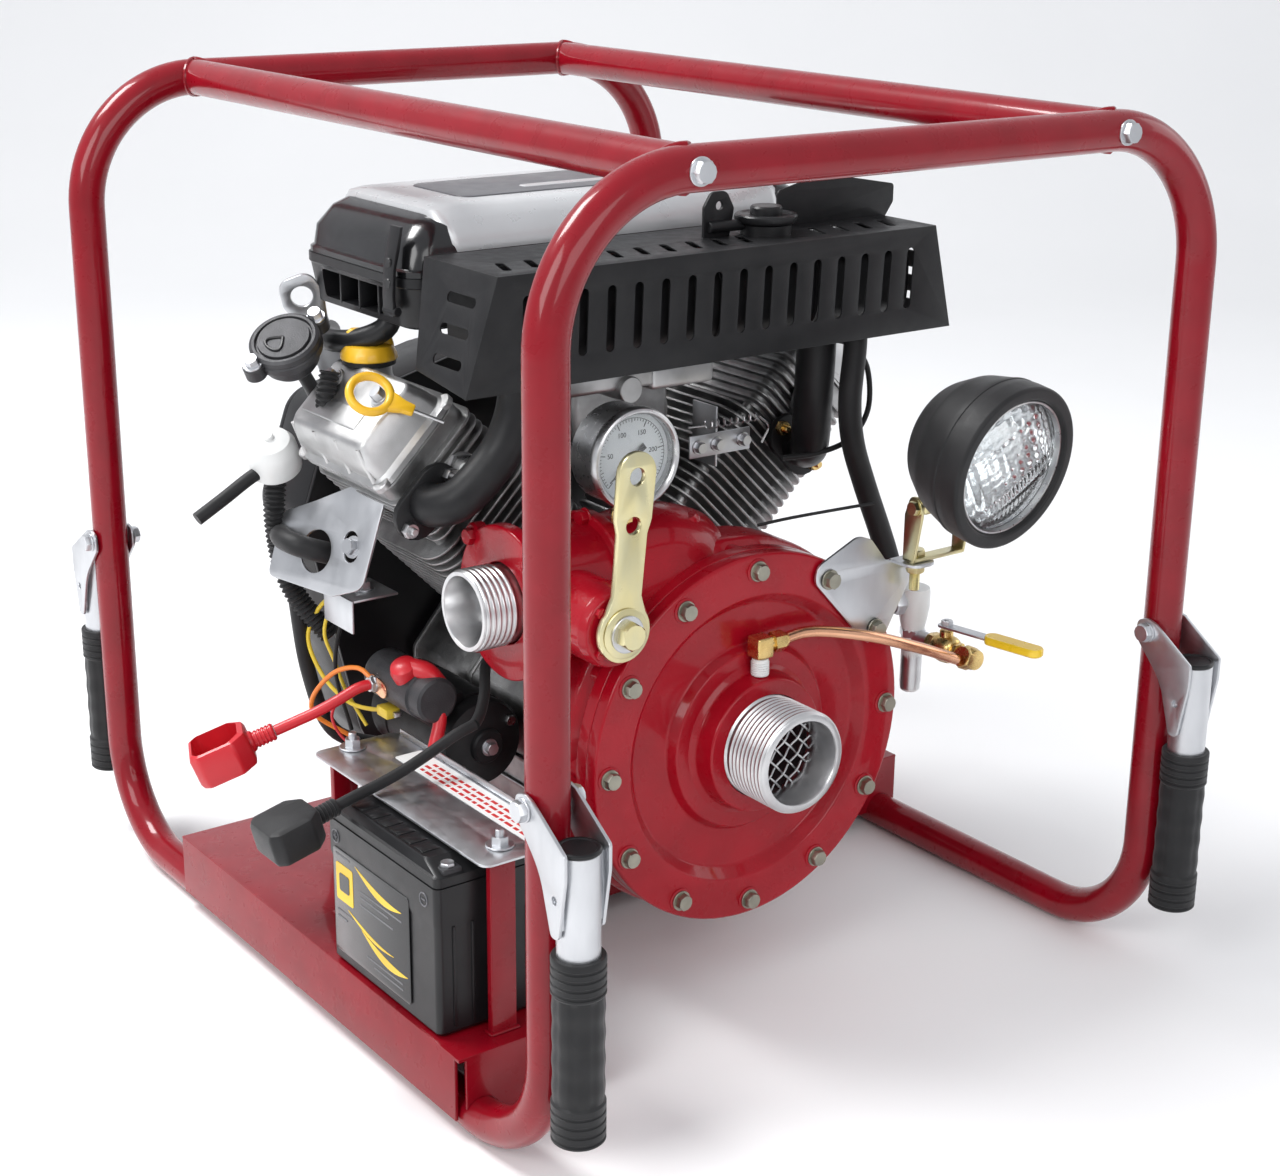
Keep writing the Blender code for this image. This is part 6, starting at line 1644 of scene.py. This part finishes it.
    loom.box((-0.2120, -0.0100, 0.2080), (-0.2000, 0.0060, 0.2160), 0.0012, mat="wire_yellow")
    loom.box((-0.2070, -0.0140, 0.2100), (-0.2010, -0.0090, 0.2140), 0.0006, mat="zinc_plate")
    loom.done("wiring_loom", "frame", [], "yellow_plastic")

    carb = Build("cast_aluminium")
    carb.box((-0.0460, -0.0180, 0.4000), (0.0460, 0.0660, 0.4450), 0.006, 3)
    carb.box((-0.0400, -0.0120, 0.4450), (0.0400, 0.0600, 0.5070), 0.008, 3, taper=(0.94, 0.94))
    carb.box((-0.0340, -0.0160, 0.3820), (0.0340, 0.0500, 0.4000), 0.006, 3, mat="bright_casting")
    for s in (-1, 1):
        carb.rod((s * 0.0400, 0.0250, 0.4100), (s * 0.0620, 0.0250, 0.4100), 0.0200, "cast_aluminium",
                40)
    for x in (-0.034, 0.034):
        for y in (-0.008, 0.056):
            carb.hexagon((x, y, 0.4450), Z, 0.0080, 0.0050, "zinc_plate", washer=0.0058)
    carb.done("carburetor_body", "frame", ["carburetor"], "cast_aluminium")


# ---------------------------------------------------------------- battery
def battery():
    """Battery with its label shapes, and the clamp plate with its printed strip."""
    x0, y0, x1, y1, low, lid, top = -0.2980, -0.2220, -0.2110, -0.0720, 0.0640, 0.1760, 0.1915
    case = Build("black_plastic")
    tiers(case, [(low, x0 + 0.003, y0 + 0.003, x1 - 0.003, y1 - 0.003, 0.005),
            (low + 0.003, x0 + 0.001, y0 + 0.001, x1 - 0.001, y1 - 0.001, 0.005),
            (lid - 0.030, x0 + 0.001, y0 + 0.001, x1 - 0.001, y1 - 0.001, 0.005),
            (lid - 0.026, x0, y0, x1, y1, 0.005), (lid, x0, y0, x1, y1, 0.005)])
    for k in range(5):
        x = x0 + 0.014 + 0.0148 * k
        case.box((x - 0.0012, y0 - 0.0001, low + 0.006), (x + 0.0012, y0 + 0.002, lid - 0.030), 0.0005)
    tiers(case, [(lid + 0.0006, x0 + 0.0008, y0 + 0.0008, x1 - 0.0008, y1 - 0.0008, 0.005),
            (lid + 0.0070, x0 + 0.0010, y0 + 0.0010, x1 - 0.0010, y1 - 0.0010, 0.005),
            (lid + 0.0080, x0 + 0.0030, y0 + 0.0030, x1 - 0.0030, y1 - 0.0030, 0.005),
            (top - 0.0014, x0 + 0.0040, y0 + 0.0180, x1 - 0.0040, y1 - 0.0180, 0.006),
            (top, x0 + 0.0052, y0 + 0.0194, x1 - 0.0052, y1 - 0.0194, 0.006)])
    for y in (y0 + 0.0100, y1 - 0.0100):
        case.box((x0 + 0.0080, y - 0.0070, lid + 0.0060), (x0 + 0.0230, y + 0.0070, top - 0.0040),
                0.0012, mat="grey_casting")
        case.hexagon((x0 + 0.0155, y, top - 0.0045), Z, 0.0090, 0.0030, "zinc_plate")
    for k in range(6):
        case.box((x0 + 0.0070, y0 + 0.0280 + 0.0165 * k, top - 0.0002),
                (x0 + 0.0210, y0 + 0.0400 + 0.0165 * k, top + 0.0006), 0.0003)
    face = x0 - 0.0001
    printed = (face - 0.0004, 0, 0)
    case.plate(rect(0.0800, 0.0740, 0.1860, 0.1560, 0.003), 0.0005, (face, 0, 0), -Y, Z,
            mat="black_gloss")

    def sweep(start, rise, fat, reach=0.0640, count=14):
        """Curved stripe of the label, thickest in the middle."""
        upper, lower = [], []
        for k in range(count + 1):
            u, v = start + reach * k / count, rise - 0.010 * math.sin(math.pi * k / count * 0.55)
            upper.append((u, v))
            lower.append((u, v - fat * math.sin(math.pi * k / count) - 0.0003))
        return upper + lower[::-1]

    for start, rise, fat in ((0.1120, 0.1510, 0.0056), (0.1190, 0.1040, 0.0062),
            (0.1000, 0.1120, 0.0026)):
        case.plate(sweep(start, rise, fat), 0.0004, printed, -Y, Z, bevel=0, mat="label_yellow")
    case.plate(rect(0.0840, 0.1160, 0.1080, 0.1450, 0.002), 0.0004, printed, -Y, Z, bevel=0,
            mat="label_yellow")
    case.plate(rect(0.0890, 0.1240, 0.1030, 0.1380, 0.002), 0.0004, (face - 0.0007, 0, 0), -Y, Z,
            bevel=0, mat="black_gloss")
    for v, u0, u1 in ((0.1515, 0.0840, 0.1040), (0.1340, 0.1180, 0.1760), (0.1295, 0.1180, 0.1580),
            (0.1235, 0.1180, 0.1640), (0.1070, 0.0840, 0.1060), (0.1020, 0.0840, 0.0980),
            (0.0860, 0.1260, 0.1760), (0.0815, 0.1360, 0.1760)):
        case.plate(rect(u0, v - 0.0007, u1, v + 0.0007, 0.0003, 2), 0.0003, printed, -Y, Z, bevel=0,
                mat="grey_plastic")
    for u, plus in ((0.0840, True), (0.2060, False)):
        ring = [Vector((face, -u - 0.0048 * math.cos(math.tau * k / 32),
                0.1640 + 0.0048 * math.sin(math.tau * k / 32))) for k in range(33)]
        case.pipe(ring, 0.0006, 8, "grey_plastic", caps=False)
        case.rod((face, -u - 0.0026, 0.1640), (face, -u + 0.0026, 0.1640), 0.0006, "grey_plastic", 8,
                edge=0)
        if plus:
            case.rod((face, -u, 0.1614), (face, -u, 0.1666), 0.0006, "grey_plastic", 8, edge=0)
    case.done("battery_box", "frame", ["battery"], "black_plastic")

    clamp = Build("zinc_plate")
    studs = ((-0.245, -0.016), (-0.247, -0.222))
    holes = [circle(x, y, 0.0035, 20) for x, y in studs]
    clamp.plate(rect(-0.2740, -0.2440, -0.2020, -0.0060, 0.008), 0.0020, (0, 0, 0.1950), X, Y,
            holes=holes, bevel=0.0005)
    clamp.box((-0.2035, -0.2360, 0.1960), (-0.2020, -0.0140, 0.2010), 0.0005)
    clamp.plate(rect(-0.2290, -0.2300, -0.2060, -0.0500, 0.002), 0.0003, (0, 0, 0.1962), X, Y, bevel=0,
            mat="white_plastic")
    for row in range(3):
        u = -0.2255 + 0.0058 * row
        v = -0.2260
        for k in range(17):
            span = (0.0042, 0.0070, 0.0054, 0.0084)[(k + row) % 4]
            clamp.plate(rect(u, v, u + 0.0026, v + span, 0.0003, 2), 0.0003, (0, 0, 0.1964), X, Y,
                    bevel=0, mat="label_red")
            v += span + 0.0026
            if v > -0.0600:
                break
    for x, y in studs:
        clamp.rod((x, y, 0.1300), (x, y, 0.2085), 0.0030, "zinc_plate", 20)
        clamp.hexagon((x, y, 0.1962), Z, 0.0110, 0.0060, "zinc_plate", washer=0.0100)
    clamp.done("battery_clamp_plate", "frame", ["battery_clamp"], "zinc_plate")


crankcase()
blower()
starter()
fuel_side()
battery()


# ---------------------------------------------------------------- studio
def lamp(name, at, aim, size, power):
    """Rectangular light at a point, turned towards another."""
    data = bpy.data.lights.new(name, "AREA")
    data.shape = "RECTANGLE"
    data.size, data.size_y = size
    data.energy = power
    obj = bpy.data.objects.new(name, data)
    obj.matrix_world = axes(at, Vector(at) - Vector(aim), X)
    bpy.context.scene.collection.objects.link(obj)


def studio():
    """Level floor that sweeps up into a backdrop behind the object, and the lights."""
    behind = Vector((0.5945, 0.8041, 0))
    across = Vector((behind.y, -behind.x, 0))
    wide, curve_from, curve_r = 9.0, 2.6, 1.6
    profile = [(-wide, 0.0), (-3.0, 0.0), (0.0, 0.0), (curve_from, 0.0)]
    for degrees in range(6, 91, 6):
        a = math.radians(degrees)
        profile.append((curve_from + curve_r * math.sin(a), curve_r - curve_r * math.cos(a)))
    profile.append((4.2, 7.0))
    mesh = bpy.data.meshes.new("floor")
    verts = []
    for run, rise in profile:
        for side in (-wide, wide):
            verts.append(tuple(behind * run + across * side + Z * (rise - 0.0004)))
    faces = [(2 * k, 2 * k + 1, 2 * k + 3, 2 * k + 2) for k in range(len(profile) - 1)]
    mesh.from_pydata(verts, [], faces)
    mesh.polygons.foreach_set("use_smooth", [True] * len(mesh.polygons))
    mesh.materials.append(MATS["floor"])
    obj = bpy.data.objects.new("floor", mesh)
    bpy.context.scene.collection.objects.link(obj)
    world = bpy.data.worlds.new("studio")
    world.use_nodes = True
    world.node_tree.nodes["Background"].inputs["Color"].default_value = (0.93, 0.95, 1.0, 1)
    world.node_tree.nodes["Background"].inputs["Strength"].default_value = 0.68
    bpy.context.scene.world = world
    lamp("key", (-1.2, 1.3, 2.7), (0, 0, 0.2), (1.1, 1.1), 80)
    lamp("left", (-2.4, -0.6, 1.7), (0, 0, 0.3), (1.4, 1.2), 28)
    lamp("front", (-0.6, -2.6, 1.5), (0, 0, 0.3), (1.8, 1.2), 18)
    lamp("right", (2.4, -0.8, 1.2), (0, 0, 0.3), (1.0, 1.6), 7)


studio()
scene = bpy.context.scene
scene.view_settings.view_transform = "Standard"
scene.view_settings.look = "None"
